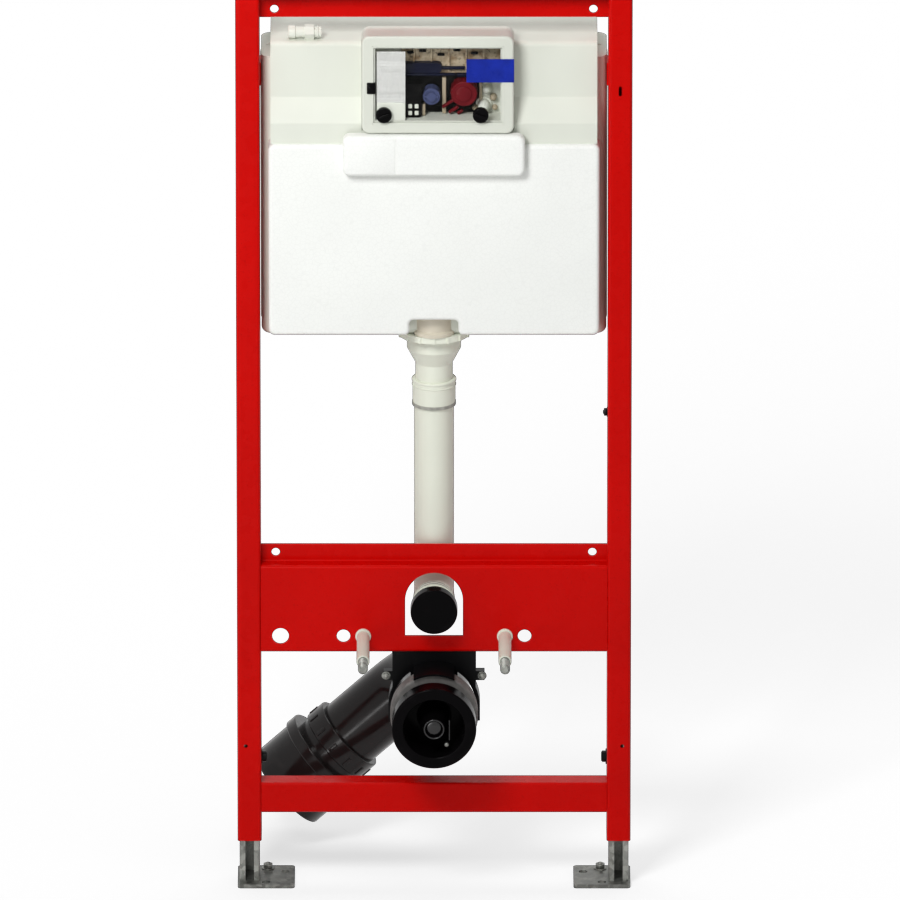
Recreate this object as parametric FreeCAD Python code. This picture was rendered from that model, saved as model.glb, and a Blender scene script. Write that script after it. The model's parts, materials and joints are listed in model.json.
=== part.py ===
"""Wall hung toilet frame: steel frame on telescopic feet, cistern, flush pipe, waste bend and pan studs.

Millimetres. X runs to the right, Y from the front towards the wall, Z up from the floor.
The origin is on the floor, midway between the feet, on the posts' centre line.
"""
import FreeCAD, Part
import math
import os

os.makedirs("parts", exist_ok=True)

V = FreeCAD.Vector

# Frame posts
FRAME_WIDTH = 500.0
FRAME_HEIGHT = 1196.0
POST_WIDTH = 30.0
POST_DEPTH = 45.0
POST_WALL = 2.0
POST_CORNER = 4.0
POST_FOOT_GAP = 60.0
SIGHT_HOLE_R = 2.5
SIGHT_HOLE_EDGE = 10.5
SIGHT_HOLE_Z = 189.0
HOOK_SLOT_WIDTH = 4.0
HOOK_SLOT_HEIGHT = 13.0
HOOK_SLOT_DROP = 125.0

# Folded sheet rails between the posts
SHEET = 2.5
BEND = 2.0
RAIL_RECESS = 22.0
RAIL_HOLE_R = 5.75
RAIL_HOLE_INSET = 19.0
RAIL_HOLE_EDGE = 10.5
TOP_RAIL_HEIGHT = 33.0
PLATE_RECESS = 2.0
PLATE_BOTTOM_Z = 316.0
PLATE_TOP_Z = 432.5
PLATE_STRIP_HEIGHT = 22.5
PLATE_LIP = 18.0
BOTTOM_RAIL_Z = 98.0
BOTTOM_RAIL_HEIGHT = 40.0
BOTTOM_RAIL_DEPTH = 30.0
BOTTOM_RAIL_CORNER = 3.0

# Telescopic feet
LEG_PLAY = 0.5
LEG_WALL = 2.5
LEG_LIP = 7.0
LEG_TOP_Z = 340.0
FOOT_PLATE_LENGTH = 72.0
FOOT_PLATE_DEPTH = 68.0
FOOT_PLATE_THICK = 5.0
FOOT_PLATE_CORNER = 4.0
FOOT_HOLE_R = 5.5
FOOT_HOLE_NEAR_EDGE = 36.0
FOOT_HOLE_FAR_EDGE = 60.0
FOOT_HOLE_FRONT_Y = -25.0
FOOT_HOLE_BACK_Y = 12.0
CLAMP_SCREW_Z = 167.0
CLAMP_SCREW_R = 4.0
CLAMP_HEAD_R = 7.0
CLAMP_HEAD_LENGTH = 6.0
CLAMP_PLAY = 0.3

# Pan studs
STUD_SPACING = 180.0
STUD_Z = 338.0
STUD_R = 6.0
STUD_PLAY = 0.2
STUD_REACH = 124.0
STUD_BACK = 6.0
STUD_SHANK_R = 5.4
STUD_THREAD = 28.0
STUD_TIP = 1.0
STUD_NUT_R = 11.0
STUD_NUT_LENGTH = 14.0
SLEEVE_R = 8.0
SLEEVE_TIP = 30.0
SLEEVE_FLANGE_R = 10.0
SLEEVE_FLANGE = 3.0
WIDE_HOLE_SPACING = 230.0
WIDE_HOLE_R = 9.0
SIDE_HOLE_INSET = 25.0
SIDE_HOLE_R = 11.0

# Flush pipe and its arched opening
FLUSH_Z = 381.0
FLUSH_Y = 36.0
PIPE_R = 25.0
PIPE_WALL = 2.0
PIPE_BEND_R = 50.0
PIPE_SOCKET_R = 27.0
PIPE_SOCKET_LENGTH = 31.0
PIPE_TOP_DROP = 69.0
PIPE_END_Y = -48.0
PIPE_RIB_RISE = 1.5
PIPE_RIB_WIDTH = 2.5
PIPE_RIB_PITCH = 6.0
PIPE_RIBS = 3
PIPE_RIB_START_Y = -17.0
BEAD_R = 27.5
BEAD_HEIGHT = 4.0
ARCH_RISE = 5.5
ARCH_R = 37.0
ARCH_BOTTOM_Z = 338.0
FLUSH_CAP_R = 29.5
FLUSH_CAP_LENGTH = 16.0
FLUSH_CAP_WALL = 2.0
FLUSH_CAP_EDGE = 1.5
FUNNEL_R = 34.0
FUNNEL_NECK_R = 23.5
FUNNEL_COLLAR = 27.0
FUNNEL_CONE = 20.0
OUTLET_NUT_R = 46.0
OUTLET_NUT_HEIGHT = 8.0
OUTLET_NUT_RIBS = 16
OUTLET_NUT_RIB = 3.0
OUTLET_NUT_RIB_RISE = 1.5
PLASTIC_PLAY = 0.2

# Cistern
TANK_GAP = 2.0
TANK_FRONT_Y = 4.0
TANK_DEPTH = 96.0
TANK_DROP = 88.0
TANK_HEIGHT = 372.0
TANK_CORNER = 14.0
TANK_WALL = 4.0
TANK_EDGE = 8.0
SHELL_SIDE_GAP = 11.0
SHELL_RISE = 10.0
SHELL_DROP = 107.0
SHELL_FRONT_Y = -28.0
SHELL_CORNER = 8.0
SHELL_EDGE = 5.0
NOTCH_WIDTH = 62.0
NOTCH_HEIGHT = 20.0
NOTCH_CORNER = 6.0
LID_SIDE_GAP = 14.0
LID_CROWN = 24.0
LID_CORNER = 6.0
LID_FRONT_Y = -8.0
LID_STEP_Y = -22.0
LID_FRONT_HEIGHT = 73.0
LID_SLOPE_HEIGHT = 31.0
LID_FOLD_R = 4.0
LID_LUG_X = 62.0
LID_LUG_WIDTH = 9.0
LID_LUG_HEIGHT = 6.0
LID_LUG_DEPTH = 12.0
PAD_WIDTH = 230.0
PAD_GAP = 1.0
PAD_HEIGHT = 54.0
PAD_THICK = 15.0
PAD_CORNER = 10.0
PAD_EDGE = 5.0
BRACKET_DROP = 38.0
BRACKET_HEIGHT = 30.0
BRACKET_DEPTH = 15.0

# Inspection opening; pieces in it are placed across from the box's middle
BOX_X = 5.0
BOX_WIDTH = 192.0
BOX_DROP = 89.0
BOX_HEIGHT = 130.0
BOX_FRONT_Y = -36.0
BOX_CORNER = 10.0
BOX_EDGE = 3.0
BOX_RIM = 17.0
BOX_PLAY = 0.3
COVER_THICK = 2.5
COVER_REBATE = 4.0
KNOB_R = 10.0
KNOB_LENGTH = 6.0
KNOB_EDGE = 1.5
KNOB_SPACING = 122.0
KNOB_SHIFT = -7.0
KNOB_RISE = 26.0
LEAF = 0.6
CARD_X = -77.0
CARD_WIDTH = 36.0
CARD_RISE = 41.0
CARD_HEIGHT = 68.0
TAG_WIDTH = 60.0
TAG_RISE = 69.0
TAG_HEIGHT = 31.0
LEVER_X = -46.0
LEVER_LENGTH = 51.0
LEVER_RISE = 73.0
LEVER_HEIGHT = 13.0
LEVER_DEPTH = 12.0
LEVER_CORNER = 5.0
VALVE_X = -45.0
VALVE_WIDTH = 24.0
VALVE_HEIGHT = 45.0
VALVE_DEPTH = 22.0
VALVE_CORNER = 3.0
FILL_KNOB_X = -8.0
FILL_KNOB_R = 11.0
FILL_KNOB_RISE = 44.0
FILL_KNOB_LENGTH = 20.0
FLUSH_KNOB_X = 33.0
FLUSH_KNOB_R = 16.5
FLUSH_KNOB_RISE = 49.0
FLUSH_KNOB_LENGTH = 24.0

# Water inlet on the lid
INLET_INSET = 43.0
INLET_Y = 6.0
INLET_R = 7.0
INLET_LENGTH = 42.0
INLET_NUT_R = 10.0
INLET_NUT_LENGTH = 12.0
INLET_NUT_SIDES = 6

# Waste bend, with the sloping run counted from the socket's axis
WASTE_Z = 243.0
WASTE_R = 45.0
WASTE_WALL = 3.0
WASTE_FRONT_Y = -102.0
WASTE_BEND_Y = 72.0
WASTE_BEND_R = 68.0
WASTE_TURN_DEG = 48.0
SOCKET_START = 146.0
SOCKET_LENGTH = 26.0
SPIGOT_DEPTH = 20.0
SEAL_RISE = 3.5
SEAL_EDGE = 1.5
NECK_LENGTH = 12.0
DRAIN_R = 55.0
OUTLET_COLLAR = 15.0
OUTLET_BARREL = 56.0
OUTLET_DEPTH = 45.0
OUTLET_EDGE = 1.4
CAP_R = 53.5
CAP_LENGTH = 26.0
CAP_WALL = 3.0
CAP_EDGE = 2.5
CUP_DEPTH = 50.0
BOSS_R = 13.5
BOSS_FOOT_R = 22.0
BOSS_WALL = 2.5
BOSS_HOLE_DEPTH = 20.0
NUB_R = 4.0
NUB_X = 16.0
NUB_DROP = 22.0
NUB_SETBACK = 4.0
CLIP_WIDTH = 24.0
CLIP_THICK = 10.5
CLIP_Y = -58.0
CLIP_EDGE = 3.0
HANGER_R = 58.0
HANGER_THICK = 5.0
HANGER_DEPTH = 22.0
HANGER_Y = -3.0
HANGER_LEG = 22.0
HANGER_EAR = 6.0
HANGER_EAR_HEIGHT = 12.0
HANGER_EAR_RISE = 33.0
SADDLE_HALF = 30.0
TONGUE_HALF = 26.0
TONGUE_THICK = 2.5
TONGUE_END_Y = -62.0

# Tolerance for picking the edges that lie in a plane
TOUCH = 0.01


def prism(axis, outline, start, length):
    """Extrude a closed outline of (u, v, corner radius) points along an axis, from start."""
    wire = rounded_wire(axis, outline, start)
    along = {"x": V(length, 0, 0), "y": V(0, length, 0), "z": V(0, 0, length)}[axis]
    return Part.Face(wire).extrude(along)


def place(axis, u, v, w):
    """Turn outline coordinates into a point: u, v across the axis and w along it."""
    return {"x": V(w, u, v), "y": V(u, w, v), "z": V(u, v, w)}[axis]


def rounded_wire(axis, outline, w):
    """Closed wire through the outline's points, with each corner rounded to its own radius."""
    stops = []
    count = len(outline)
    for index in range(count):
        before, corner, after = outline[index - 1], outline[index], outline[(index + 1) % count]
        stops.append(corner_points(before, corner, after))
    edges = []
    for index in range(count):
        entry, middle, leave = stops[index]
        following = stops[(index + 1) % count][0]
        if middle is not None:
            points = [place(axis, u, v, w) for u, v in (entry, middle, leave)]
            edges.append(Part.Arc(*points).toShape())
        if math.dist(leave, following) > 1e-6:
            edges.append(Part.LineSegment(place(axis, *leave, w), place(axis, *following, w)).toShape())
    return Part.Wire(edges)


def corner_points(before, corner, after):
    """Entry, middle and leaving points of the arc that rounds one corner."""
    u, v, radius = corner
    if radius <= 0:
        return (u, v), None, (u, v)
    to_before = unit(before[0] - u, before[1] - v)
    to_after = unit(after[0] - u, after[1] - v)
    half = math.acos(to_before[0] * to_after[0] + to_before[1] * to_after[1]) / 2
    reach = radius / math.tan(half)
    bisector = unit(to_before[0] + to_after[0], to_before[1] + to_after[1])
    depth = radius / math.sin(half) - radius
    entry = (u + to_before[0] * reach, v + to_before[1] * reach)
    leave = (u + to_after[0] * reach, v + to_after[1] * reach)
    return entry, (u + bisector[0] * depth, v + bisector[1] * depth), leave


def unit(du, dv):
    length = math.hypot(du, dv)
    return du / length, dv / length


def rectangle(u0, u1, v0, v1, radius=0.0):
    return [(u0, v0, radius), (u1, v0, radius), (u1, v1, radius), (u0, v1, radius)]


def folded_sheet(path, start, length):
    """Sheet of even thickness along an X-wise fold path of (y, z) points, with rounded bends."""
    near, far = [], []
    last = len(path) - 1
    for index, (u, v) in enumerate(path):
        into = unit(u - path[index - 1][0], v - path[index - 1][1]) if index else None
        out = unit(path[index + 1][0] - u, path[index + 1][1] - v) if index < last else None
        shift = [0.0, 0.0]
        for direction in (into, out):
            if direction:
                shift = [shift[0] - direction[1] * SHEET, shift[1] + direction[0] * SHEET]
        turn = into[0] * out[1] - into[1] * out[0] if into and out else 0.0
        near.append((u, v, 0.0 if not turn else BEND if turn < 0 else BEND + SHEET))
        far.append((u + shift[0], v + shift[1], 0.0 if not turn else BEND + SHEET if turn < 0 else BEND))
    return prism("x", near + far[::-1], start, length)


def rod(axis, centre, radius, start, length):
    """Cylinder along an axis; centre is given as (u, v) across it."""
    direction = {"x": V(1, 0, 0), "y": V(0, 1, 0), "z": V(0, 0, 1)}[axis]
    return Part.makeCylinder(radius, length, place(axis, *centre, start), direction)


def tube(axis, centre, outer, inner, start, length):
    return rod(axis, centre, outer, start, length).cut(rod(axis, centre, inner, start, length))


def turned(outline, base, direction=V(0, 0, 1)):
    """Solid of revolution from (radius, height, corner radius) points, stood on base along direction."""
    solid = Part.Face(rounded_wire("y", outline, 0)).revolve(V(0, 0, 0), V(0, 0, 1), 360)
    solid.Placement = FreeCAD.Placement(base, FreeCAD.Rotation(V(0, 0, 1), direction))
    return solid


def softened(shape, radius, axis, level):
    """Shape with the edges of its front (y) or bottom (z) face, which lies at level, rounded."""
    bound = {"y": "YMax", "z": "ZMax"}[axis]
    edges = [edge for edge in shape.Edges if abs(getattr(edge.BoundBox, bound) - level) < TOUCH]
    return shape.makeFillet(radius, edges)


def export(name, shape):
    shape.exportStep("parts/" + name + ".step")


# Values that follow from the driving dimensions
HALF_WIDTH = FRAME_WIDTH / 2
POST_INNER_X = HALF_WIDTH - POST_WIDTH
POST_FRONT_Y = -POST_DEPTH / 2
RAIL_Y = POST_FRONT_Y + RAIL_RECESS
PLATE_Y = POST_FRONT_Y + PLATE_RECESS
SPAN = 2 * POST_INNER_X
LEG_WIDTH = POST_WIDTH - 2 * (POST_WALL + LEG_PLAY)
LEG_DEPTH = POST_DEPTH - 2 * (POST_WALL + LEG_PLAY)
LEG_OUTER_X = HALF_WIDTH - POST_WALL - LEG_PLAY
LEG_INNER_X = LEG_OUTER_X - LEG_WIDTH
SLANT = V(-math.sin(math.radians(WASTE_TURN_DEG)), 0, -math.cos(math.radians(WASTE_TURN_DEG)))
TANK_HALF = POST_INNER_X - TANK_GAP
TANK_TOP_Z = FRAME_HEIGHT - TANK_DROP
TANK_BOTTOM_Z = TANK_TOP_Z - TANK_HEIGHT
TANK_BACK_Y = TANK_FRONT_Y + TANK_DEPTH
SHELL_HALF = POST_INNER_X - SHELL_SIDE_GAP
SHELL_BOTTOM_Z = TANK_BOTTOM_Z + SHELL_RISE
SHELL_TOP_Z = TANK_TOP_Z - SHELL_DROP
LID_HALF = POST_INNER_X - LID_SIDE_GAP
LID_TOP_Z = TANK_TOP_Z + LID_CROWN
INLET_X = INLET_INSET - LID_HALF
LID_SLOPE_TOP_Z = LID_TOP_Z - LID_FRONT_HEIGHT
LID_SLOPE_BOTTOM_Z = LID_SLOPE_TOP_Z - LID_SLOPE_HEIGHT
BRACKET_Z = TANK_TOP_Z - BRACKET_DROP
BOX_BOTTOM_Z = TANK_TOP_Z - BOX_DROP
FUNNEL_CONE_TOP_Z = TANK_BOTTOM_Z - FUNNEL_COLLAR
FUNNEL_CONE_BOTTOM_Z = FUNNEL_CONE_TOP_Z - FUNNEL_CONE
PIPE_TOP_Z = TANK_BOTTOM_Z - PIPE_TOP_DROP
BOX_TOP_Z = BOX_BOTTOM_Z + BOX_HEIGHT
BOX_HALF = BOX_WIDTH / 2
BOX_BACK_Y = TANK_FRONT_Y - TANK_WALL
PAD_TOP_Z = BOX_BOTTOM_Z - PAD_GAP
WASTE_INNER = WASTE_R - WASTE_WALL
SOCKET_BORE = WASTE_R + PLASTIC_PLAY
SOCKET_R = SOCKET_BORE + WASTE_WALL
SOCKET_END = SOCKET_START + SOCKET_LENGTH
SPIGOT_END = SOCKET_START + SPIGOT_DEPTH
NECK_END = SOCKET_END + NECK_LENGTH
OUTLET_BORE = DRAIN_R + PLASTIC_PLAY
OUTLET_R = OUTLET_BORE + WASTE_WALL
OUTLET_COLLAR_END = NECK_END + OUTLET_COLLAR
WASTE_END = OUTLET_COLLAR_END + OUTLET_BARREL
CAP_FRONT_Y = WASTE_FRONT_Y - CAP_WALL


def post(side):
    """Hollow post, closed at the top and open below for its leg, with a tapped clamp hole inside."""
    x0, x1 = sorted((side * POST_INNER_X, side * HALF_WIDTH))
    height = FRAME_HEIGHT - POST_FOOT_GAP
    outer = prism("z", rectangle(x0, x1, POST_FRONT_Y, -POST_FRONT_Y, POST_CORNER), POST_FOOT_GAP, height)
    inside = rectangle(x0 + POST_WALL, x1 - POST_WALL, POST_FRONT_Y + POST_WALL, -POST_FRONT_Y - POST_WALL,
                       POST_CORNER - POST_WALL)
    hollow = prism("z", inside, POST_FOOT_GAP, height - POST_WALL)
    screw_x = min(side * POST_INNER_X, side * (POST_INNER_X + POST_WALL))
    body = outer.cut(hollow).cut(rod("x", (0, CLAMP_SCREW_Z), CLAMP_SCREW_R, screw_x, POST_WALL))
    sight_x = side * (HALF_WIDTH - SIGHT_HOLE_EDGE)
    return body.cut(rod("y", (sight_x, SIGHT_HOLE_Z), SIGHT_HOLE_R, POST_FRONT_Y, POST_WALL))


def hook_slot():
    """Short upright slot in the right post's front wall."""
    x = HALF_WIDTH - POST_WIDTH / 2
    z = FRAME_HEIGHT - HOOK_SLOT_DROP
    half = HOOK_SLOT_WIDTH / 2
    outline = rectangle(x - half, x + half, z - HOOK_SLOT_HEIGHT / 2, z + HOOK_SLOT_HEIGHT / 2, half - TOUCH)
    return prism("y", outline, POST_FRONT_Y, POST_WALL)


def clamp_screw(side):
    """Screw through the post's inner wall that grips the leg, with its head inside the frame."""
    reach = POST_WALL + LEG_PLAY - CLAMP_PLAY
    shank_x = side * POST_INNER_X if side > 0 else side * POST_INNER_X - reach
    head_x = POST_INNER_X - CLAMP_HEAD_LENGTH if side > 0 else -POST_INNER_X
    shank = rod("x", (0, CLAMP_SCREW_Z), CLAMP_SCREW_R, shank_x, reach)
    return shank.fuse(rod("x", (0, CLAMP_SCREW_Z), CLAMP_HEAD_R, head_x, CLAMP_HEAD_LENGTH))


def rail_holes(shape, z):
    for side in (-1, 1):
        x = side * (POST_INNER_X - RAIL_HOLE_INSET)
        shape = shape.cut(rod("y", (x, z), RAIL_HOLE_R, RAIL_Y - SHEET, 3 * SHEET))
    return shape


def top_rail():
    """Angle with a recessed web and a top flange that runs out to the posts' fronts."""
    top = FRAME_HEIGHT
    path = [(RAIL_Y, top - TOP_RAIL_HEIGHT), (RAIL_Y, top - SHEET), (POST_FRONT_Y + BEND, top - SHEET)]
    sheet = folded_sheet(path[::-1], -POST_INNER_X, SPAN)
    return rail_holes(sheet, top - TOP_RAIL_HEIGHT + RAIL_HOLE_EDGE)


def fixing_plate():
    """Folded plate that carries the pan: recessed strip, ledge, front with the arch, lower lip."""
    path = [(PLATE_Y + PLATE_LIP, PLATE_BOTTOM_Z), (PLATE_Y, PLATE_BOTTOM_Z), (PLATE_Y, PLATE_TOP_Z),
            (RAIL_Y, PLATE_TOP_Z), (RAIL_Y, PLATE_TOP_Z + PLATE_STRIP_HEIGHT)]
    sheet = folded_sheet(path[::-1], -POST_INNER_X, SPAN)
    sheet = rail_holes(sheet, PLATE_TOP_Z + PLATE_STRIP_HEIGHT - RAIL_HOLE_EDGE)
    spring_z = FLUSH_Z + ARCH_RISE
    cut_y, cut_length = PLATE_Y - SHEET, 3 * SHEET
    opening = prism("y", rectangle(-ARCH_R, ARCH_R, ARCH_BOTTOM_Z, spring_z), cut_y, cut_length)
    sheet = sheet.cut(opening.fuse(rod("y", (0, spring_z), ARCH_R, cut_y, cut_length)))
    for side in (-1, 1):
        x = side * WIDE_HOLE_SPACING / 2
        sheet = sheet.cut(rod("y", (x, STUD_Z), WIDE_HOLE_R, cut_y, cut_length))
        x = side * STUD_SPACING / 2
        sheet = sheet.fuse(rod("y", (x, STUD_Z), STUD_NUT_R, PLATE_Y + SHEET, STUD_NUT_LENGTH))
        sheet = sheet.cut(rod("y", (x, STUD_Z), STUD_R + STUD_PLAY, cut_y, cut_length + STUD_NUT_LENGTH))
    return sheet.cut(rod("y", (SIDE_HOLE_INSET - POST_INNER_X, STUD_Z), SIDE_HOLE_R, cut_y, cut_length))


def bottom_rail():
    """Rectangular tube between the posts, near the floor."""
    y0, y1 = PLATE_Y, PLATE_Y + BOTTOM_RAIL_DEPTH
    z0, z1 = BOTTOM_RAIL_Z, BOTTOM_RAIL_Z + BOTTOM_RAIL_HEIGHT
    outer = prism("x", rectangle(y0, y1, z0, z1, BOTTOM_RAIL_CORNER), -POST_INNER_X, SPAN)
    inside = rectangle(y0 + POST_WALL, y1 - POST_WALL, z0 + POST_WALL, z1 - POST_WALL,
                       BOTTOM_RAIL_CORNER - POST_WALL)
    return outer.cut(prism("x", inside, -POST_INNER_X, SPAN))


def leg(side):
    """Lipped channel, open to the front, that slides in the post."""
    x0, x1 = sorted((side * LEG_INNER_X, side * LEG_OUTER_X))
    y0, y1 = -LEG_DEPTH / 2, LEG_DEPTH / 2
    corner = POST_CORNER - POST_WALL
    height = LEG_TOP_Z - FOOT_PLATE_THICK
    outer = prism("z", rectangle(x0, x1, y0, y1, corner), FOOT_PLATE_THICK, height)
    inside = rectangle(x0 + LEG_WALL, x1 - LEG_WALL, y0 + LEG_WALL, y1 - LEG_WALL)
    slot = rectangle(x0 + LEG_LIP, x1 - LEG_LIP, y0 - LEG_WALL, y0 + 2 * LEG_WALL)
    hollow = prism("z", inside, FOOT_PLATE_THICK, height)
    return outer.cut(hollow.fuse(prism("z", slot, FOOT_PLATE_THICK, height)))


def foot_plate(side):
    """Flat plate under the leg that points inwards, with two floor holes."""
    x0, x1 = sorted((side * HALF_WIDTH, side * (HALF_WIDTH - FOOT_PLATE_LENGTH)))
    half = FOOT_PLATE_DEPTH / 2
    flat = prism("z", rectangle(x0, x1, -half, half, FOOT_PLATE_CORNER), 0, FOOT_PLATE_THICK)
    holes = ((FOOT_HOLE_NEAR_EDGE, FOOT_HOLE_FRONT_Y), (FOOT_HOLE_FAR_EDGE, FOOT_HOLE_BACK_Y))
    for edge, y in holes:
        flat = flat.cut(rod("z", (side * (HALF_WIDTH - edge), y), FOOT_HOLE_R, 0, FOOT_PLATE_THICK))
    return flat


def stud(side):
    """Stud threaded at both ends, with a thinner shank between its thread and the plate's boss."""
    x = side * STUD_SPACING / 2
    shank = STUD_REACH - SHEET
    total = STUD_REACH + SHEET + STUD_NUT_LENGTH + STUD_BACK
    outline = [(0, 0, 0), (STUD_R - STUD_TIP, 0, 0), (STUD_R, STUD_TIP, 0), (STUD_R, STUD_THREAD, 0),
               (STUD_SHANK_R, STUD_THREAD + STUD_TIP, 0), (STUD_SHANK_R, shank - STUD_TIP, 0),
               (STUD_R, shank, 0), (STUD_R, total, 0), (0, total, 0)]
    return turned(outline, V(x, PLATE_Y - STUD_REACH, STUD_Z), V(0, 1, 0))


def stud_sleeve(side):
    """Plastic sleeve over the stud, with a flange against the plate."""
    x = side * STUD_SPACING / 2
    length = STUD_REACH - SLEEVE_TIP
    bore = STUD_R + STUD_PLAY
    neck = length - SLEEVE_FLANGE
    outline = [(bore, 0, 0), (SLEEVE_R, 0, STUD_TIP), (SLEEVE_R, neck, 0), (SLEEVE_FLANGE_R, neck, STUD_TIP),
               (SLEEVE_FLANGE_R, length, 0), (bore, length, 0)]
    return turned(outline, V(x, PLATE_Y - length, STUD_Z), V(0, 1, 0))


def cistern_tank():
    """Hollow tank between the posts, rounded at its upright and lower edges."""
    outline = rectangle(-TANK_HALF, TANK_HALF, TANK_FRONT_Y, TANK_BACK_Y, TANK_CORNER)
    outer = prism("z", outline, TANK_BOTTOM_Z, TANK_HEIGHT)
    outer = softened(outer, TANK_EDGE, "z", TANK_BOTTOM_Z)
    wall = TANK_WALL
    inside = rectangle(-TANK_HALF + wall, TANK_HALF - wall, TANK_FRONT_Y + wall, TANK_BACK_Y - wall,
                       TANK_CORNER - wall)
    hollow = prism("z", inside, TANK_BOTTOM_Z + wall, TANK_HEIGHT - 2 * wall)
    outlet = rod("z", (0, FLUSH_Y), FUNNEL_NECK_R, TANK_BOTTOM_Z, TANK_WALL)
    return outer.cut(hollow).cut(outlet)


def insulation_shell():
    """Foam jacket on the tank's front, notched at the bottom for the flush pipe."""
    half = SHELL_HALF
    notch = NOTCH_WIDTH / 2
    z0, z1 = SHELL_BOTTOM_Z, SHELL_TOP_Z
    notch_z = z0 + NOTCH_HEIGHT
    outline = [(-half, z0, SHELL_CORNER), (-notch, z0, NOTCH_CORNER), (-notch, notch_z, NOTCH_CORNER),
               (notch, notch_z, NOTCH_CORNER), (notch, z0, NOTCH_CORNER), (half, z0, SHELL_CORNER),
               (half, z1, SHELL_CORNER), (-half, z1, SHELL_CORNER)]
    body = prism("y", outline, SHELL_FRONT_Y, TANK_FRONT_Y - SHELL_FRONT_Y)
    return softened(body, SHELL_EDGE, "y", SHELL_FRONT_Y)


def cistern_lid():
    """Upper moulding: stepped front above the jacket and a cap over the tank, open round the box."""
    outline = [(TANK_FRONT_Y, SHELL_TOP_Z, 0), (LID_STEP_Y, SHELL_TOP_Z, 0),
               (LID_STEP_Y, LID_SLOPE_BOTTOM_Z, LID_FOLD_R), (LID_FRONT_Y, LID_SLOPE_TOP_Z, LID_FOLD_R),
               (LID_FRONT_Y, LID_TOP_Z, LID_CORNER), (TANK_BACK_Y, LID_TOP_Z, LID_CORNER),
               (TANK_BACK_Y, TANK_TOP_Z, 0), (TANK_FRONT_Y, TANK_TOP_Z, 0)]
    body = prism("x", outline, -LID_HALF, 2 * LID_HALF)
    half = BOX_HALF + BOX_PLAY
    gap = rectangle(BOX_X - half, BOX_X + half, BOX_BOTTOM_Z - BOX_PLAY, BOX_TOP_Z)
    lug = prism("y", rectangle(LID_LUG_X, LID_LUG_X + LID_LUG_WIDTH, LID_TOP_Z - LID_LUG_HEIGHT,
                               LID_TOP_Z + LID_LUG_HEIGHT), TANK_FRONT_Y, LID_LUG_DEPTH)
    return body.fuse(lug).cut(prism("y", gap, BOX_FRONT_Y, TANK_FRONT_Y - BOX_FRONT_Y))


def front_pad():
    half = PAD_WIDTH / 2
    outline = rectangle(-half, half, PAD_TOP_Z - PAD_HEIGHT, PAD_TOP_Z, PAD_CORNER)
    front_y = SHELL_FRONT_Y - PAD_THICK
    return softened(prism("y", outline, front_y, PAD_THICK), PAD_EDGE, "y", front_y)


def box_outline(margin, corner=0.0):
    """Outline of the box's front, drawn in by a margin."""
    half = BOX_HALF - margin
    return rectangle(BOX_X - half, BOX_X + half, BOX_BOTTOM_Z + margin, BOX_TOP_Z - margin, corner)


def inspection_box():
    """Open box round the inspection opening, with a rebate for its cover and a back panel."""
    depth = TANK_FRONT_Y - BOX_FRONT_Y
    body = prism("y", box_outline(0, BOX_CORNER), BOX_FRONT_Y, depth)
    body = softened(body, BOX_EDGE, "y", BOX_FRONT_Y)
    body = body.cut(prism("y", box_outline(BOX_RIM), BOX_FRONT_Y, depth - TANK_WALL))
    return body.cut(prism("y", box_outline(BOX_RIM - COVER_REBATE), BOX_FRONT_Y, COVER_THICK))


def clear_cover():
    return prism("y", box_outline(BOX_RIM - COVER_REBATE + BOX_PLAY), BOX_FRONT_Y, COVER_THICK)


def cover_knob(side):
    x = BOX_X + KNOB_SHIFT + side * KNOB_SPACING / 2
    return button(x, BOX_BOTTOM_Z + KNOB_RISE, KNOB_R, BOX_FRONT_Y, KNOB_LENGTH)


def button(x, z, radius, back_y, length):
    """Round knob that stands forward from back_y, with a rounded front edge."""
    outline = [(0, 0, 0), (radius, 0, 0), (radius, length, KNOB_EDGE), (0, length, 0)]
    return turned(outline, V(x, back_y, z), V(0, -1, 0))


def box_block(x, width, rise, height, start, depth, corner=0.0):
    """Flat-fronted piece in the inspection box, placed by its left edge and its rise."""
    x, z = BOX_X + x, BOX_BOTTOM_Z + rise
    return prism("y", rectangle(x, x + width, z, z + height, corner), start, depth)


def info_card():
    """Card that stands against the back of the cover."""
    return box_block(CARD_X, CARD_WIDTH, CARD_RISE, CARD_HEIGHT, BOX_FRONT_Y + COVER_THICK, LEAF)


def cover_tag():
    """Tag on the cover that runs out over the box's right edge."""
    return box_block(BOX_HALF - TAG_WIDTH, TAG_WIDTH, TAG_RISE, TAG_HEIGHT, BOX_FRONT_Y - LEAF, LEAF)


def lift_lever():
    start = BOX_BACK_Y - LEVER_DEPTH
    return box_block(LEVER_X, LEVER_LENGTH, LEVER_RISE, LEVER_HEIGHT, start, LEVER_DEPTH, LEVER_CORNER)


def fill_valve():
    start = BOX_BACK_Y - VALVE_DEPTH
    return box_block(VALVE_X, VALVE_WIDTH, BOX_RIM, VALVE_HEIGHT, start, VALVE_DEPTH, VALVE_CORNER)


def panel_knob(x, rise, radius, length):
    """Round knob that stands forward from the box's back panel."""
    return button(BOX_X + x, BOX_BOTTOM_Z + rise, radius, BOX_BACK_Y, length)


def cistern_bracket(side):
    x0 = TANK_HALF if side > 0 else -POST_INNER_X
    outline = rectangle(TANK_FRONT_Y, TANK_FRONT_Y + BRACKET_DEPTH + TANK_CORNER, BRACKET_Z,
                        BRACKET_Z + BRACKET_HEIGHT)
    return prism("x", outline, x0, TANK_GAP)


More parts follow.
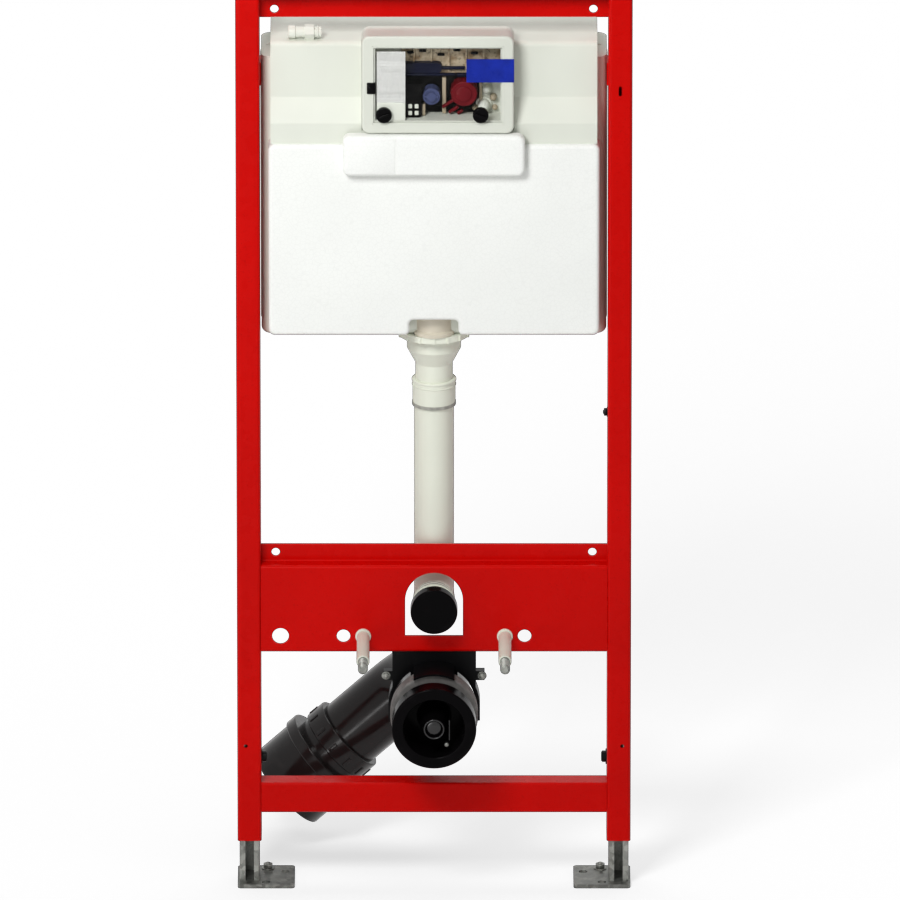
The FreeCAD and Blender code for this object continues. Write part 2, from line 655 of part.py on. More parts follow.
def inlet_fitting():
    """Inlet stub that lies on the lid, with its six-sided nut."""
    y, z = INLET_Y, LID_TOP_Z + INLET_NUT_R * math.cos(math.pi / INLET_NUT_SIDES)
    body = rod("x", (y, z), INLET_R, INLET_X - INLET_LENGTH / 2, INLET_LENGTH)
    angles = [(index + 0.5) * 2 * math.pi / INLET_NUT_SIDES for index in range(INLET_NUT_SIDES)]
    outline = [(y + INLET_NUT_R * math.sin(angle), z + INLET_NUT_R * math.cos(angle), 0) for angle in angles]
    return body.fuse(prism("x", outline, INLET_X, INLET_NUT_LENGTH))


def outlet_nut():
    """Ring nut below the tank, with grip ribs round it."""
    z = TANK_BOTTOM_Z - OUTLET_NUT_HEIGHT
    ring = tube("z", (0, FLUSH_Y), OUTLET_NUT_R, FUNNEL_R + PLASTIC_PLAY, z, OUTLET_NUT_HEIGHT)
    half = OUTLET_NUT_RIB / 2
    inner = (FUNNEL_R + OUTLET_NUT_R) / 2
    outline = rectangle(inner, OUTLET_NUT_R + OUTLET_NUT_RIB_RISE, FLUSH_Y - half, FLUSH_Y + half)
    rib = prism("z", outline, z, OUTLET_NUT_HEIGHT)
    turns = [index * 360.0 / OUTLET_NUT_RIBS for index in range(OUTLET_NUT_RIBS)]
    ribs = [rib.rotated(V(0, FLUSH_Y, z), V(0, 0, 1), turn) for turn in turns]
    return ring.fuse(ribs).removeSplitter()


def flush_funnel():
    """Outlet neck below the tank that narrows to the pipe."""
    inner = FUNNEL_NECK_R - PIPE_WALL
    neck = FUNNEL_CONE_BOTTOM_Z - PIPE_TOP_Z
    cone = FUNNEL_CONE_TOP_Z - PIPE_TOP_Z
    top = TANK_BOTTOM_Z - PIPE_TOP_Z
    outline = [(inner, 0, 0), (FUNNEL_NECK_R, 0, 0), (FUNNEL_NECK_R, neck, BEND), (FUNNEL_R, cone, BEND),
               (FUNNEL_R, top, 0), (inner, top, 0)]
    return turned(outline, V(0, FLUSH_Y, PIPE_TOP_Z))


def flush_pipe():
    """Socket and straight pipe down to the bend."""
    bend_top = FLUSH_Z + PIPE_BEND_R
    inner = PIPE_R - PIPE_WALL
    top = PIPE_TOP_Z - bend_top
    socket = top - PIPE_SOCKET_LENGTH
    outline = [(inner, 0, 0), (PIPE_R, 0, 0), (PIPE_R, socket, 0), (PIPE_SOCKET_R, socket, 0),
               (PIPE_SOCKET_R, top, PIPE_WALL / 2), (inner, top, 0)]
    return turned(outline, V(0, FLUSH_Y, bend_top))


def bead_ring():
    z = PIPE_TOP_Z - PIPE_SOCKET_LENGTH - BEAD_HEIGHT
    return tube("z", (0, FLUSH_Y), BEAD_R, PIPE_R + PLASTIC_PLAY, z, BEAD_HEIGHT)


def bent_rod(start, first, second, lengths, bend_radius, radius):
    """Round bar: a straight run, a right-angled bend and a second straight run."""
    turn_in = start + first * lengths[0]
    turn_out = turn_in + first * bend_radius + second * bend_radius
    halfway = turn_in + (first - second) * (bend_radius * math.sqrt(0.5)) + second * bend_radius
    end = turn_out + second * lengths[1]
    runs = []
    if lengths[0]:
        runs.append(Part.LineSegment(start, turn_in).toShape())
    runs.append(Part.Arc(turn_in, halfway, turn_out).toShape())
    if lengths[1]:
        runs.append(Part.LineSegment(turn_out, end).toShape())
    ring = Part.Wire([Part.Circle(start, first, radius).toShape()])
    return Part.Wire(runs).makePipeShell([ring], True, False)


def flush_bend():
    """Bend behind the plate that brings the pipe forward through the arch."""
    start = V(0, FLUSH_Y, FLUSH_Z + PIPE_BEND_R)
    run = FLUSH_Y - PIPE_BEND_R - PIPE_END_Y
    outer = bent_rod(start, V(0, 0, -1), V(0, -1, 0), (0, run), PIPE_BEND_R, PIPE_R)
    for index in range(PIPE_RIBS):
        y = PIPE_RIB_START_Y - PIPE_RIB_WIDTH + index * PIPE_RIB_PITCH
        outer = outer.fuse(rod("y", (0, FLUSH_Z), PIPE_R + PIPE_RIB_RISE, y, PIPE_RIB_WIDTH))
    return outer.cut(bent_rod(start, V(0, 0, -1), V(0, -1, 0), (0, run), PIPE_BEND_R, PIPE_R - PIPE_WALL))


def flush_cap():
    """Cap over the flush pipe's end."""
    bore = PIPE_R + PLASTIC_PLAY
    outline = [(0, 0, 0), (FLUSH_CAP_R, 0, FLUSH_CAP_EDGE), (FLUSH_CAP_R, FLUSH_CAP_LENGTH, 0),
               (bore, FLUSH_CAP_LENGTH, 0), (bore, FLUSH_CAP_WALL, 0), (0, FLUSH_CAP_WALL, 0)]
    return turned(outline, V(0, PIPE_END_Y - FLUSH_CAP_WALL, FLUSH_Z), V(0, 1, 0))


def waste_bend():
    """Waste pipe: level socket to the front, right-angled bend, sloping spigot."""
    start = V(0, WASTE_FRONT_Y, WASTE_Z)
    lengths = (WASTE_BEND_Y - WASTE_FRONT_Y, SPIGOT_END - WASTE_BEND_R)
    outer = bent_rod(start, V(0, 1, 0), SLANT, lengths, WASTE_BEND_R, WASTE_R)
    inner = bent_rod(start, V(0, 1, 0), SLANT, lengths, WASTE_BEND_R, WASTE_INNER)
    return outer.cut(inner)


def waste_branch():
    """Sloping adapter: collared socket over the bend's spigot, neck, and a wider socket for the drain."""
    ring_r = SOCKET_R + SEAL_RISE
    rim_r = OUTLET_R + SEAL_RISE
    seat = WASTE_END - OUTLET_DEPTH
    widening = OUTLET_BORE - WASTE_WALL
    outside = [(SOCKET_BORE, SOCKET_START, 0), (ring_r, SOCKET_START, SEAL_EDGE),
               (ring_r, SOCKET_END, SEAL_EDGE), (SOCKET_R, SOCKET_END, 0), (SOCKET_R, NECK_END, 0),
               (rim_r, NECK_END, SEAL_EDGE), (rim_r, OUTLET_COLLAR_END, SEAL_EDGE),
               (OUTLET_R, OUTLET_COLLAR_END, 0), (OUTLET_R, WASTE_END, OUTLET_EDGE)]
    inside = [(OUTLET_BORE, WASTE_END, 0), (OUTLET_BORE, seat, 0), (widening, seat, 0),
              (widening, OUTLET_COLLAR_END, 0), (WASTE_INNER, SOCKET_END, 0), (WASTE_INNER, SPIGOT_END, 0),
              (SOCKET_BORE, SPIGOT_END, 0)]
    return turned(outside + inside, V(0, WASTE_BEND_Y + WASTE_BEND_R, WASTE_Z), SLANT)


def waste_cap():
    """Plug in the socket: rim over the pipe, deep cup inside it, hollow cone in the middle and a nub."""
    cup_r = WASTE_INNER - PLASTIC_PLAY
    floor = CAP_WALL + CUP_DEPTH
    hole_r = BOSS_R - BOSS_WALL
    outline = [(cup_r - CAP_WALL, 0, CAP_EDGE), (CAP_R, 0, CAP_EDGE), (CAP_R, CAP_LENGTH, 0),
               (SOCKET_BORE, CAP_LENGTH, 0), (SOCKET_BORE, CAP_WALL, 0), (cup_r, CAP_WALL, 0),
               (cup_r, floor, CAP_EDGE), (0, floor, 0), (0, BOSS_HOLE_DEPTH, 0),
               (hole_r, BOSS_HOLE_DEPTH, 0), (hole_r, 0, 0), (BOSS_R, 0, BOSS_WALL / 4),
               (BOSS_FOOT_R, CUP_DEPTH, 0), (cup_r - CAP_WALL, CUP_DEPTH, 0)]
    plug = turned(outline, V(0, CAP_FRONT_Y, WASTE_Z), V(0, 1, 0))
    nub = rod("y", (NUB_X, WASTE_Z - NUB_DROP), NUB_R, CAP_FRONT_Y + NUB_SETBACK, CUP_DEPTH)
    return plug.fuse(nub.common(rod("y", (0, WASTE_Z), CAP_R, CAP_FRONT_Y, floor)))


def pipe_clip():
    """Lining ring round the level run, under the hanger's tongue."""
    outer = SOCKET_BORE + CLIP_THICK
    outline = [(SOCKET_BORE, 0, 0), (outer, 0, CLIP_EDGE), (outer, CLIP_WIDTH, CLIP_EDGE),
               (SOCKET_BORE, CLIP_WIDTH, 0)]
    return turned(outline, V(0, CLIP_Y, WASTE_Z), V(0, 1, 0))


def waste_hanger():
    """Clamp under the plate: arch over the level run, saddle on it, legs, ears and a tongue over the ring."""
    start = HANGER_Y - HANGER_DEPTH / 2
    inner = HANGER_R - HANGER_THICK
    axis = (0, WASTE_Z)
    body = prism("y", rectangle(-inner, inner, WASTE_Z, PLATE_BOTTOM_Z), start, HANGER_DEPTH)
    upper = prism("y", rectangle(-HANGER_R, HANGER_R, WASTE_Z, WASTE_Z + HANGER_R), start, HANGER_DEPTH)
    body = body.fuse(upper.common(rod("y", axis, HANGER_R, start, HANGER_DEPTH)))
    body = body.cut(rod("y", axis, inner, start, HANGER_DEPTH))
    saddle = prism("y", rectangle(-SADDLE_HALF, SADDLE_HALF, WASTE_Z, WASTE_Z + inner), start, HANGER_DEPTH)
    body = body.fuse(saddle.common(tube("y", axis, HANGER_R, SOCKET_BORE, start, HANGER_DEPTH)))
    for side in (-1, 1):
        x0, x1 = sorted((side * inner, side * HANGER_R))
        body = body.fuse(prism("y", rectangle(x0, x1, WASTE_Z - HANGER_LEG, WASTE_Z), start, HANGER_DEPTH))
        x0, x1 = sorted((side * inner, side * (HANGER_R + HANGER_EAR)))
        ear_z = WASTE_Z + HANGER_EAR_RISE
        ear = rectangle(x0, x1, ear_z, ear_z + HANGER_EAR_HEIGHT)
        body = body.fuse(prism("y", ear, start, HANGER_DEPTH / 2))
    length = HANGER_Y - TONGUE_END_Y
    under = SOCKET_BORE + CLIP_THICK + PLASTIC_PLAY
    tongue = tube("y", axis, under + TONGUE_THICK, under, TONGUE_END_Y, length)
    top = rectangle(-TONGUE_HALF, TONGUE_HALF, WASTE_Z, WASTE_Z + under + TONGUE_THICK)
    return body.fuse(tongue.common(prism("y", top, TONGUE_END_Y, length))).removeSplitter()


SIDES = (("left", -1), ("right", 1))
for word, side in SIDES:
    export(word + "_post", post(side) if side < 0 else post(side).cut(hook_slot()))
    export(word + "_clamp_screw", clamp_screw(side))
    export(word + "_leg", leg(side))
    export(word + "_foot_plate", foot_plate(side))
    export(word + "_stud", stud(side))
    export(word + "_stud_sleeve", stud_sleeve(side))
    export(word + "_cistern_bracket", cistern_bracket(side))
    export(word + "_cover_knob", cover_knob(side))
export("top_rail", top_rail())
export("fixing_plate", fixing_plate())
export("bottom_rail", bottom_rail())
export("cistern_tank", cistern_tank())
export("insulation_shell", insulation_shell())
export("cistern_lid", cistern_lid())
export("front_pad", front_pad())
export("inspection_box", inspection_box())
export("clear_cover", clear_cover())
export("info_card", info_card())
export("cover_tag", cover_tag())
export("lift_lever", lift_lever())
export("fill_valve", fill_valve())
export("fill_knob", panel_knob(FILL_KNOB_X, FILL_KNOB_RISE, FILL_KNOB_R, FILL_KNOB_LENGTH))
export("flush_knob", panel_knob(FLUSH_KNOB_X, FLUSH_KNOB_RISE, FLUSH_KNOB_R, FLUSH_KNOB_LENGTH))
export("inlet_fitting", inlet_fitting())
export("outlet_nut", outlet_nut())
export("flush_funnel", flush_funnel())
export("bead_ring", bead_ring())
export("flush_pipe", flush_pipe())
export("flush_bend", flush_bend())
export("flush_cap", flush_cap())
export("waste_bend", waste_bend())
export("waste_branch", waste_branch())
export("waste_cap", waste_cap())
export("pipe_clip", pipe_clip())
export("waste_hanger", waste_hanger())
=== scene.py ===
"""Wall hung toilet frame: finishes, fittings and studio, laid out as an add-on and run as a script.

Places are in metres: X runs to the right, Y from the front towards the wall, Z up from the floor. The sizes
that an operator holds are in millimetres: a block's are width, depth, height and edge radius, a ring's inner
radius, outer radius, height and chamfer, and a dome's or bolt head's radius and height.
"""
import json
import math

import bmesh
import bpy
from bpy.props import FloatProperty, FloatVectorProperty, PointerProperty
from mathutils import Matrix, Quaternion, Vector


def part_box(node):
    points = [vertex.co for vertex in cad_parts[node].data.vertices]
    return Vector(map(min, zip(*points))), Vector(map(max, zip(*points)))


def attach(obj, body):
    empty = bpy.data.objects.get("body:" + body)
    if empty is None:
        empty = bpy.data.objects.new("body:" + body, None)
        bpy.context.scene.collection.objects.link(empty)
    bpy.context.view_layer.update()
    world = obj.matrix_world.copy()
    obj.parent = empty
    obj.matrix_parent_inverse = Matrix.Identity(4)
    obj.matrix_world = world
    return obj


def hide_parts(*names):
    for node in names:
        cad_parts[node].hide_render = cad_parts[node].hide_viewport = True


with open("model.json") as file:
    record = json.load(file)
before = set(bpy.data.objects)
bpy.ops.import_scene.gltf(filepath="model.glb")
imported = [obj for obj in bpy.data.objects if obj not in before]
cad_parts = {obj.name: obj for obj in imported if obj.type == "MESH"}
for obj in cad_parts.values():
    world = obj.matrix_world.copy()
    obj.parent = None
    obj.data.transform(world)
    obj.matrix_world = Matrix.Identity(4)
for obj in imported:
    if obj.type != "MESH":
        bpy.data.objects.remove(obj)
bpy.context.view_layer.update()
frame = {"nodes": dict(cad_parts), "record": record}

bl_info = {
    "name": "Wall Hung Toilet Frame",
    "version": (1, 0, 0),
    "blender": (4, 5, 0),
    "location": "3D View > Sidebar > Toilet Frame",
    "description": "Finishes and small fittings for a wall hung toilet frame with its cistern",
    "category": "Object",
}

MM = 0.001
UP = Vector((0.0, 0.0, 1.0))
LEFT = Vector((-1.0, 0.0, 0.0))
RIGHT = Vector((1.0, 0.0, 0.0))
TO_FRONT = Vector((0.0, -1.0, 0.0))
TO_WALL = Vector((0.0, 1.0, 0.0))
SIDES = (("left", -1.0), ("right", 1.0))
SHARP_ANGLE = math.radians(32.0)
FLOOR_GLOW = 0.4    # lifts the lit floor to white in reflections and through clear parts


# Properties that a user would change

def colour(name, description, default):
    return FloatVectorProperty(name=name, description=description, default=default, subtype="COLOR",
                               size=3, min=0.0, max=1.0)


def length(name, description, default):
    return FloatProperty(name=name, description=description, default=default, unit="LENGTH", min=0.0)


def power(name, description, default):
    return FloatProperty(name=name, description=description, default=default, subtype="POWER")


class FinishColours(bpy.types.PropertyGroup):
    """Base colours of the finishes."""
    powder_coat: colour("Powder coat", "Red coat on the posts and rails", (0.560, 0.0018, 0.0008))
    galvanised: colour("Galvanised steel", "Zinc on the feet, studs and bolts", (0.235, 0.240, 0.221))
    foam: colour("Foam", "Insulating jacket and pad on the cistern", (0.900, 0.915, 0.885))
    tank: colour("Cistern", "Moulded cistern and its lid", (0.705, 0.730, 0.650))
    pipe: colour("Flush pipe", "Pale pipe and funnel", (0.790, 0.815, 0.705))
    waste: colour("Black mouldings", "Caps, cover knobs and valve block", (0.0022, 0.0019, 0.0022))
    # lifted well above the caps' black: painted sheen along the sloping pipe
    drain: colour("Drain pipe", "Sloping waste pipe and its bend", (0.0120, 0.0099, 0.0098))
    tag: colour("Tag", "Blue tag on the cover", (0.008, 0.022, 0.290))
    lever: colour("Lever", "Dark blue lever in the opening", (0.0025, 0.0040, 0.0180))
    flush_knob: colour("Flush knob", "Red knob in the opening", (0.115, 0.001, 0.005))
    fill_knob: colour("Fill knob", "Blue-grey knob in the opening", (0.055, 0.068, 0.150))
    panel: colour("Back panel", "Beige panel in the opening", (0.560, 0.470, 0.330))


class FittingSizes(bpy.types.PropertyGroup):
    """Sizes of the small fittings."""
    thread_pitch: length("Thread pitch", "Rise of one turn of the stud's thread", 0.00175)
    thread_depth: length("Thread depth", "From the thread's root to its crest", 0.0009)
    weld_radius: length("Weld bead", "Half width of the weld beads", 0.0021)
    weld_pitch: length("Weld ripple", "Step from one ripple of a weld to the next", 0.0024)
    seam_rise: length("Seam", "How far the cistern's moulding seam stands out", 0.0011)


class StageSettings(bpy.types.PropertyGroup):
    """Camera, lamps and backdrop."""
    elevation: FloatProperty(name="Elevation", description="Angle that the camera looks down by",
                             default=math.radians(20.0), subtype="ANGLE")
    distance: length("Distance", "From the camera to the point it looks at", 31.7)
    aim_x: length("Aim X", "Sideways place of the point that the camera looks at", 0.0203)
    aim_z: length("Aim height", "Height of the point that the camera looks at", 0.582)
    lens: FloatProperty(name="Focal length", description="Lens in millimetres", default=1000.0, min=1.0,
                        subtype="DISTANCE_CAMERA")
    key_power: power("Key lamp", "Square lamp, upper left", 39.0)
    fill_power: power("Fill lamp", "Wide lamp, right front", 4.0)
    top_power: power("Top lamp", "Wide lamp above and behind", 11.0)
    strip_power: power("Strip lamp", "Narrow lamp, low in front", 8.0)
    ambient: FloatProperty(name="Ambient", description="Even light from all round", default=0.34, min=0.0)
    floor_size: length("Floor", "Width of the floor", 80.0)


# Finishes

SOCKETS = {"specular": "Specular IOR Level", "metallic": "Metallic"}


class Finish:
    """Node material in the making: a Principled shader fed by patterns on Object coordinates."""

    def __init__(self, name, base, roughness, **constants):
        self.material = bpy.data.materials.new(name)
        self.material.use_nodes = True
        self.material.diffuse_color = (*base, 1.0)
        self.tree = self.material.node_tree
        self.shader = self.tree.nodes["Principled BSDF"]
        self.shader.inputs["Base Color"].default_value = (*base, 1.0)
        self.shader.inputs["Roughness"].default_value = roughness
        for key, value in constants.items():
            self.shader.inputs[SOCKETS[key]].default_value = value
        self.place = self.tree.nodes.new("ShaderNodeTexCoord").outputs["Object"]
        self.relief = None

    def node(self, kind, settings=None, **inputs):
        """Add a node, set its properties, and link or set its inputs; _0 and _1 are inputs by number."""
        made = self.tree.nodes.new(kind)
        for key, value in (settings or {}).items():
            setattr(made, key, value)
        for key, value in inputs.items():
            socket = made.inputs[int(key[1:]) if key[1:].isdigit() else key.replace("_", " ")]
            if isinstance(value, bpy.types.NodeSocket):
                self.tree.links.new(value, socket)
            else:
                socket.default_value = value
        return made

    def noise(self, scale, detail=3.0, stretch=None):
        where = self.place
        if stretch:
            where = self.node("ShaderNodeMapping", Vector=where, Scale=stretch).outputs["Vector"]
        return self.node("ShaderNodeTexNoise", Vector=where, Scale=scale, Detail=detail).outputs["Fac"]

    def cells(self, scale, feature="F1", output="Distance"):
        made = self.node("ShaderNodeTexVoronoi", {"feature": feature}, Vector=self.place, Scale=scale)
        return made.outputs[output]

    def span(self, value, low, high, start=0.3, end=0.7):
        """Carry a pattern's start to end over to low to high."""
        made = self.node("ShaderNodeMapRange", Value=value)
        for key, number in (("From Min", start), ("From Max", end), ("To Min", low), ("To Max", high)):
            made.inputs[key].default_value = number
        return made.outputs["Result"]

    def blend(self, amount, first, second):
        """Colour between two, each a triple or another blend."""
        made = self.node("ShaderNodeMix", {"data_type": "RGBA"}, Factor=amount)
        for socket, value in ((made.inputs[6], first), (made.inputs[7], second)):
            if isinstance(value, bpy.types.NodeSocket):
                self.tree.links.new(value, socket)
            else:
                socket.default_value = (*value, 1.0)
        return made.outputs[2]

    def paint(self, source, socket="Base Color"):
        self.tree.links.new(source, self.shader.inputs[socket])

    def emboss(self, height, strength, distance):
        """Add relief; each call lies over the last."""
        made = self.node("ShaderNodeBump", Height=height, Strength=strength, Distance=distance)
        if self.relief:
            self.tree.links.new(self.relief, made.inputs["Normal"])
        self.relief = made.outputs["Normal"]
        self.tree.links.new(self.relief, self.shader.inputs["Normal"])


def shade(base, factor):
    return tuple(min(1.0, channel * factor) for channel in base)


def powder_coat(base):
    """Red powder coat with orange peel and faint handling marks."""
    finish = Finish("red_powder_coat", base, 0.30, specular=0.06)
    drift = finish.span(finish.noise(5.0, detail=2.0), 0.0, 1.0)
    speck = finish.span(finish.noise(420.0, detail=2.0), 0.0, 1.0, start=0.60, end=0.75)
    body = finish.blend(drift, shade(base, 0.92), shade(base, 1.06))
    finish.paint(finish.blend(speck, body, shade(base, 0.84)))
    finish.paint(finish.span(finish.noise(38.0, detail=4.0), 0.20, 0.36), "Roughness")
    finish.emboss(finish.noise(520.0, detail=1.0), strength=0.10, distance=0.0004)
    return finish.material


def galvanised(name, base):
    """Zinc spangle: grey crystals of uneven tone with a dull skin."""
    finish = Finish(name, base, 0.45, metallic=0.75)
    tone = finish.span(finish.cells(170.0, output="Color"), 0.0, 1.0, start=0.1, end=0.9)
    body = finish.blend(tone, shade(base, 0.62), shade(base, 1.45))
    grime = finish.span(finish.noise(60.0, detail=5.0), 0.0, 0.55, start=0.5, end=0.75)
    finish.paint(finish.blend(grime, body, shade(base, 0.35)))
    finish.paint(finish.span(tone, 0.34, 0.58, start=0.0, end=1.0), "Roughness")
    finish.emboss(finish.noise(300.0, detail=3.0), strength=0.12, distance=0.0005)
    return finish.material


def moulded_foam(base):
    """White bead foam: cells pressed flat, with faint seams between the beads."""
    bead_scale = 190.0
    finish = Finish("white_bead_foam", base, 0.80, specular=0.25)
    seams = finish.span(finish.cells(bead_scale, "DISTANCE_TO_EDGE"), 1.0, 0.0, start=0.0, end=0.10)
    drift = finish.span(finish.noise(9.0, detail=3.0), 0.0, 1.0)
    body = finish.blend(drift, shade(base, 0.965), base)
    seam_tone = finish.span(seams, 0.0, 0.35, start=0.0, end=1.0)
    finish.paint(finish.blend(seam_tone, body, shade(base, 0.86)))
    finish.emboss(finish.cells(bead_scale), strength=-0.18, distance=0.0010)
    return finish.material


def satin_moulding(name, base, roughness, streak=0.93):
    """Satin plastic: slightly uneven tone, fine grain and soft flow lines."""
    finish = Finish(name, base, roughness, specular=0.35)
    drift = finish.span(finish.noise(7.0, detail=3.0, stretch=(1.0, 1.0, 0.45)), 0.0, 1.0)
    finish.paint(finish.blend(drift, shade(base, streak), shade(base, 1.04)))
    wear = finish.span(finish.noise(45.0, detail=4.0), roughness - 0.08, roughness + 0.10)
    finish.paint(wear, "Roughness")
    finish.emboss(finish.noise(900.0, detail=2.0), strength=0.06, distance=0.0003)
    return finish.material


def gloss_moulding(name, base, roughness):
    """Injection-moulded plastic in a strong colour, with faint flow and handling marks."""
    finish = Finish(name, base, roughness, specular=0.10)
    drift = finish.span(finish.noise(60.0, detail=3.0), 0.0, 1.0)
    finish.paint(finish.blend(drift, shade(base, 0.80), shade(base, 1.20)))
    wear = finish.span(finish.noise(150.0, detail=3.0), roughness - 0.06, roughness + 0.12)
    finish.paint(wear, "Roughness")
    finish.emboss(finish.noise(1200.0, detail=2.0), strength=0.05, distance=0.0002)
    return finish.material


def black_pipe(name, base, specular):
    """Black plastic: smooth skin with pale rub marks and dust."""
    finish = Finish(name, base, 0.16, specular=specular)
    smears = finish.noise(30.0, detail=5.0, stretch=(1.0, 0.5, 1.6))
    rubs = finish.span(smears, 0.0, 0.75, start=0.58, end=0.80)
    dust = finish.span(finish.noise(240.0, detail=3.0), 0.0, 0.30, start=0.62, end=0.80)
    body = finish.blend(rubs, base, shade(base, 2.6))
    finish.paint(finish.blend(dust, body, shade(base, 3.6)))
    finish.paint(finish.span(finish.noise(55.0, detail=4.0), 0.11, 0.24), "Roughness")
    finish.emboss(finish.noise(160.0, detail=3.0), strength=0.07, distance=0.0006)
    return finish.material


def mottled_lining(base):
    """Beige lining behind the valve gear, browned in patches."""
    brown = (0.270, 0.180, 0.095)
    dark_brown = (0.060, 0.048, 0.030)
    finish = Finish("beige_lining", base, 0.50, specular=0.3)
    patches = finish.span(finish.noise(75.0, detail=4.0), 0.0, 1.0, start=0.42, end=0.62)
    body = finish.blend(patches, base, brown)
    flecks = finish.span(finish.noise(260.0, detail=2.0), 0.0, 0.8, start=0.58, end=0.72)
    finish.paint(finish.blend(flecks, body, dark_brown))
    finish.emboss(finish.noise(180.0, detail=3.0), strength=0.15, distance=0.0008)
    return finish.material


def clear_sheet(base=(0.26, 0.27, 0.25)):
    """Clear cover: nearly all see-through, with a grey tint and a few scuffs."""
    finish = Finish("clear_cover_sheet", base, 0.06, specular=0.3)
    scuffs = finish.span(finish.noise(130.0, detail=6.0), 0.008, 0.035, start=0.55, end=0.75)
    finish.paint(scuffs, "Alpha")
    finish.paint(finish.span(finish.noise(90.0, detail=3.0), 0.04, 0.14), "Roughness")
    return finish.material


def plain_card(base=(0.84, 0.85, 0.82)):
    """Plain card with a paper grain."""
    finish = Finish("bare_card", base, 0.70, specular=0.2)
    fibre = finish.span(finish.noise(700.0, detail=5.0, stretch=(1.0, 1.0, 0.3)), 0.0, 1.0)
    finish.paint(finish.blend(fibre, shade(base, 0.90), base))
    finish.emboss(finish.noise(500.0, detail=4.0), strength=0.12, distance=0.0003)
    return finish.material


def rubber(name, base):
    """Grey seal rubber with a dusty bloom."""
    finish = Finish(name, base, 0.65, specular=0.3)
    bloom = finish.span(finish.noise(120.0, detail=5.0), 0.0, 0.8, start=0.45, end=0.75)
    finish.paint(finish.blend(bloom, base, shade(base, 1.6)))
    finish.emboss(finish.noise(600.0, detail=2.0), strength=0.10, distance=0.0003)
    return finish.material


def black_fixing(base=(0.0026, 0.0026, 0.0030)):
    """Black coat on the screws and the hanger, rubbed paler in places."""
    rubbed = (0.012, 0.012, 0.012)
    finish = Finish("black_coated_steel", base, 0.28, specular=0.09)
    rubs = finish.span(finish.noise(140.0, detail=4.0), 0.0, 0.7, start=0.60, end=0.80)
    finish.paint(finish.blend(rubs, base, rubbed))
    finish.emboss(finish.noise(380.0, detail=2.0), strength=0.10, distance=0.0003)
    return finish.material


FINISHES = {}


def finishes(colours):
    """Make each finish once and keep it under its slot's name, or a name of its own."""
    if not FINISHES:
        FINISHES.update({
            "red_steel": powder_coat(colours.powder_coat),
            "zinc_steel": galvanised("galvanised_steel", colours.galvanised),
            # darker copy of the zinc: painted shade for the foot plates' upward faces
            "painted_shade_zinc": galvanised("painted_shade_galvanised_steel", shade(colours.galvanised, 0.72)),
            "black_fixing": black_fixing(),
            "white_foam": moulded_foam(colours.foam),
            "tank_plastic": satin_moulding("cistern_moulding", colours.tank, 0.48),
            "box_moulding": satin_moulding("box_moulding", shade(colours.tank, 0.93), 0.40, 0.94),
            "clear_plastic": clear_sheet(),
            "card": plain_card(),
            "blue_tag": gloss_moulding("blue_film", colours.tag, 0.30),
            "navy_plastic": gloss_moulding("navy_moulding", colours.lever, 0.35),
            "blue_grey_plastic": gloss_moulding("blue_grey_moulding", colours.fill_knob, 0.38),
            "red_plastic": gloss_moulding("red_moulding", colours.flush_knob, 0.32),
            "pipe_plastic": satin_moulding("pale_pipe_moulding", colours.pipe, 0.42, 0.90),
            "grey_rubber": rubber("grey_seal_rubber", (0.124, 0.119, 0.114)),
            "pale_rubber": rubber("pale_seal_rubber", (0.290, 0.290, 0.260)),
            "sleeve_plastic": satin_moulding("sleeve_moulding", shade(colours.pipe, 0.95), 0.38, 0.85),
            "black_plastic": black_pipe("black_moulding", colours.waste, 0.05),
            # the drain pipe's base is the lifted black, a painted sheen
            "drain_pipe": black_pipe("black_drain_pipe", colours.drain, 0.20),
            "plug_moulding": black_pipe("black_plug_moulding", colours.waste, 0.025),
            "gloss_black": black_pipe("gloss_black_moulding", colours.waste, 0.45),
            "beige_moulding": satin_moulding("beige_moulding", shade(colours.panel, 0.75), 0.50, 0.85),
            "neck_moulding": satin_moulding("neck_moulding", (0.640, 0.590, 0.480), 0.45, 0.90),
            "beige_lining": mottled_lining(colours.panel),
        })
    return FINISHES


def dress(context, names, finish=None):
    """Give CAD nodes the finish of their slot, or one that is named."""
    made = finishes(context.scene.frame_colours)
    slots = {row["node"]: row["material_slot"] for row in frame["record"]["subparts"]}
    for name in names:
        node = frame["nodes"][name]
        node.data.materials.clear()
        node.data.materials.append(made[finish or slots[name]])


# Places

def mm(*values):
    """Point or sizes in millimetres, carried over to metres."""
    return Vector(values) * MM


def corners(node):
    """Lowest and highest corner of a CAD node."""
    low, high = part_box(node)
    return Vector(low), Vector(high)


def front_middle(low, high):
    """Middle of a box's front face."""
    return Vector(((low.x + high.x) / 2, low.y, (low.z + high.z) / 2))


def at(centre):
    return Matrix.Translation(centre)


def along(base, axis):
    """Place that puts a shape's origin on base and its +Z along axis."""
    return at(base) @ UP.rotation_difference(Vector(axis)).to_matrix().to_4x4()


# Shapes: blocks, beads and frames lie round the origin, the others stand on it along +Z

def rounded_block(size, radius):
    """Block with all its edges rounded."""
    shape = bmesh.new()
    bmesh.ops.create_cube(shape, size=1.0)
    bmesh.ops.scale(shape, vec=size, verts=shape.verts)
    bmesh.ops.bevel(shape, geom=shape.edges[:], offset=radius, offset_type="OFFSET", affect="EDGES",
                    segments=3, profile=0.5, material=-1)
    return shape


def block(width, depth, height, edge):
    """Rounded block from sizes in millimetres."""
    return rounded_block(mm(width, depth, height), edge * MM)


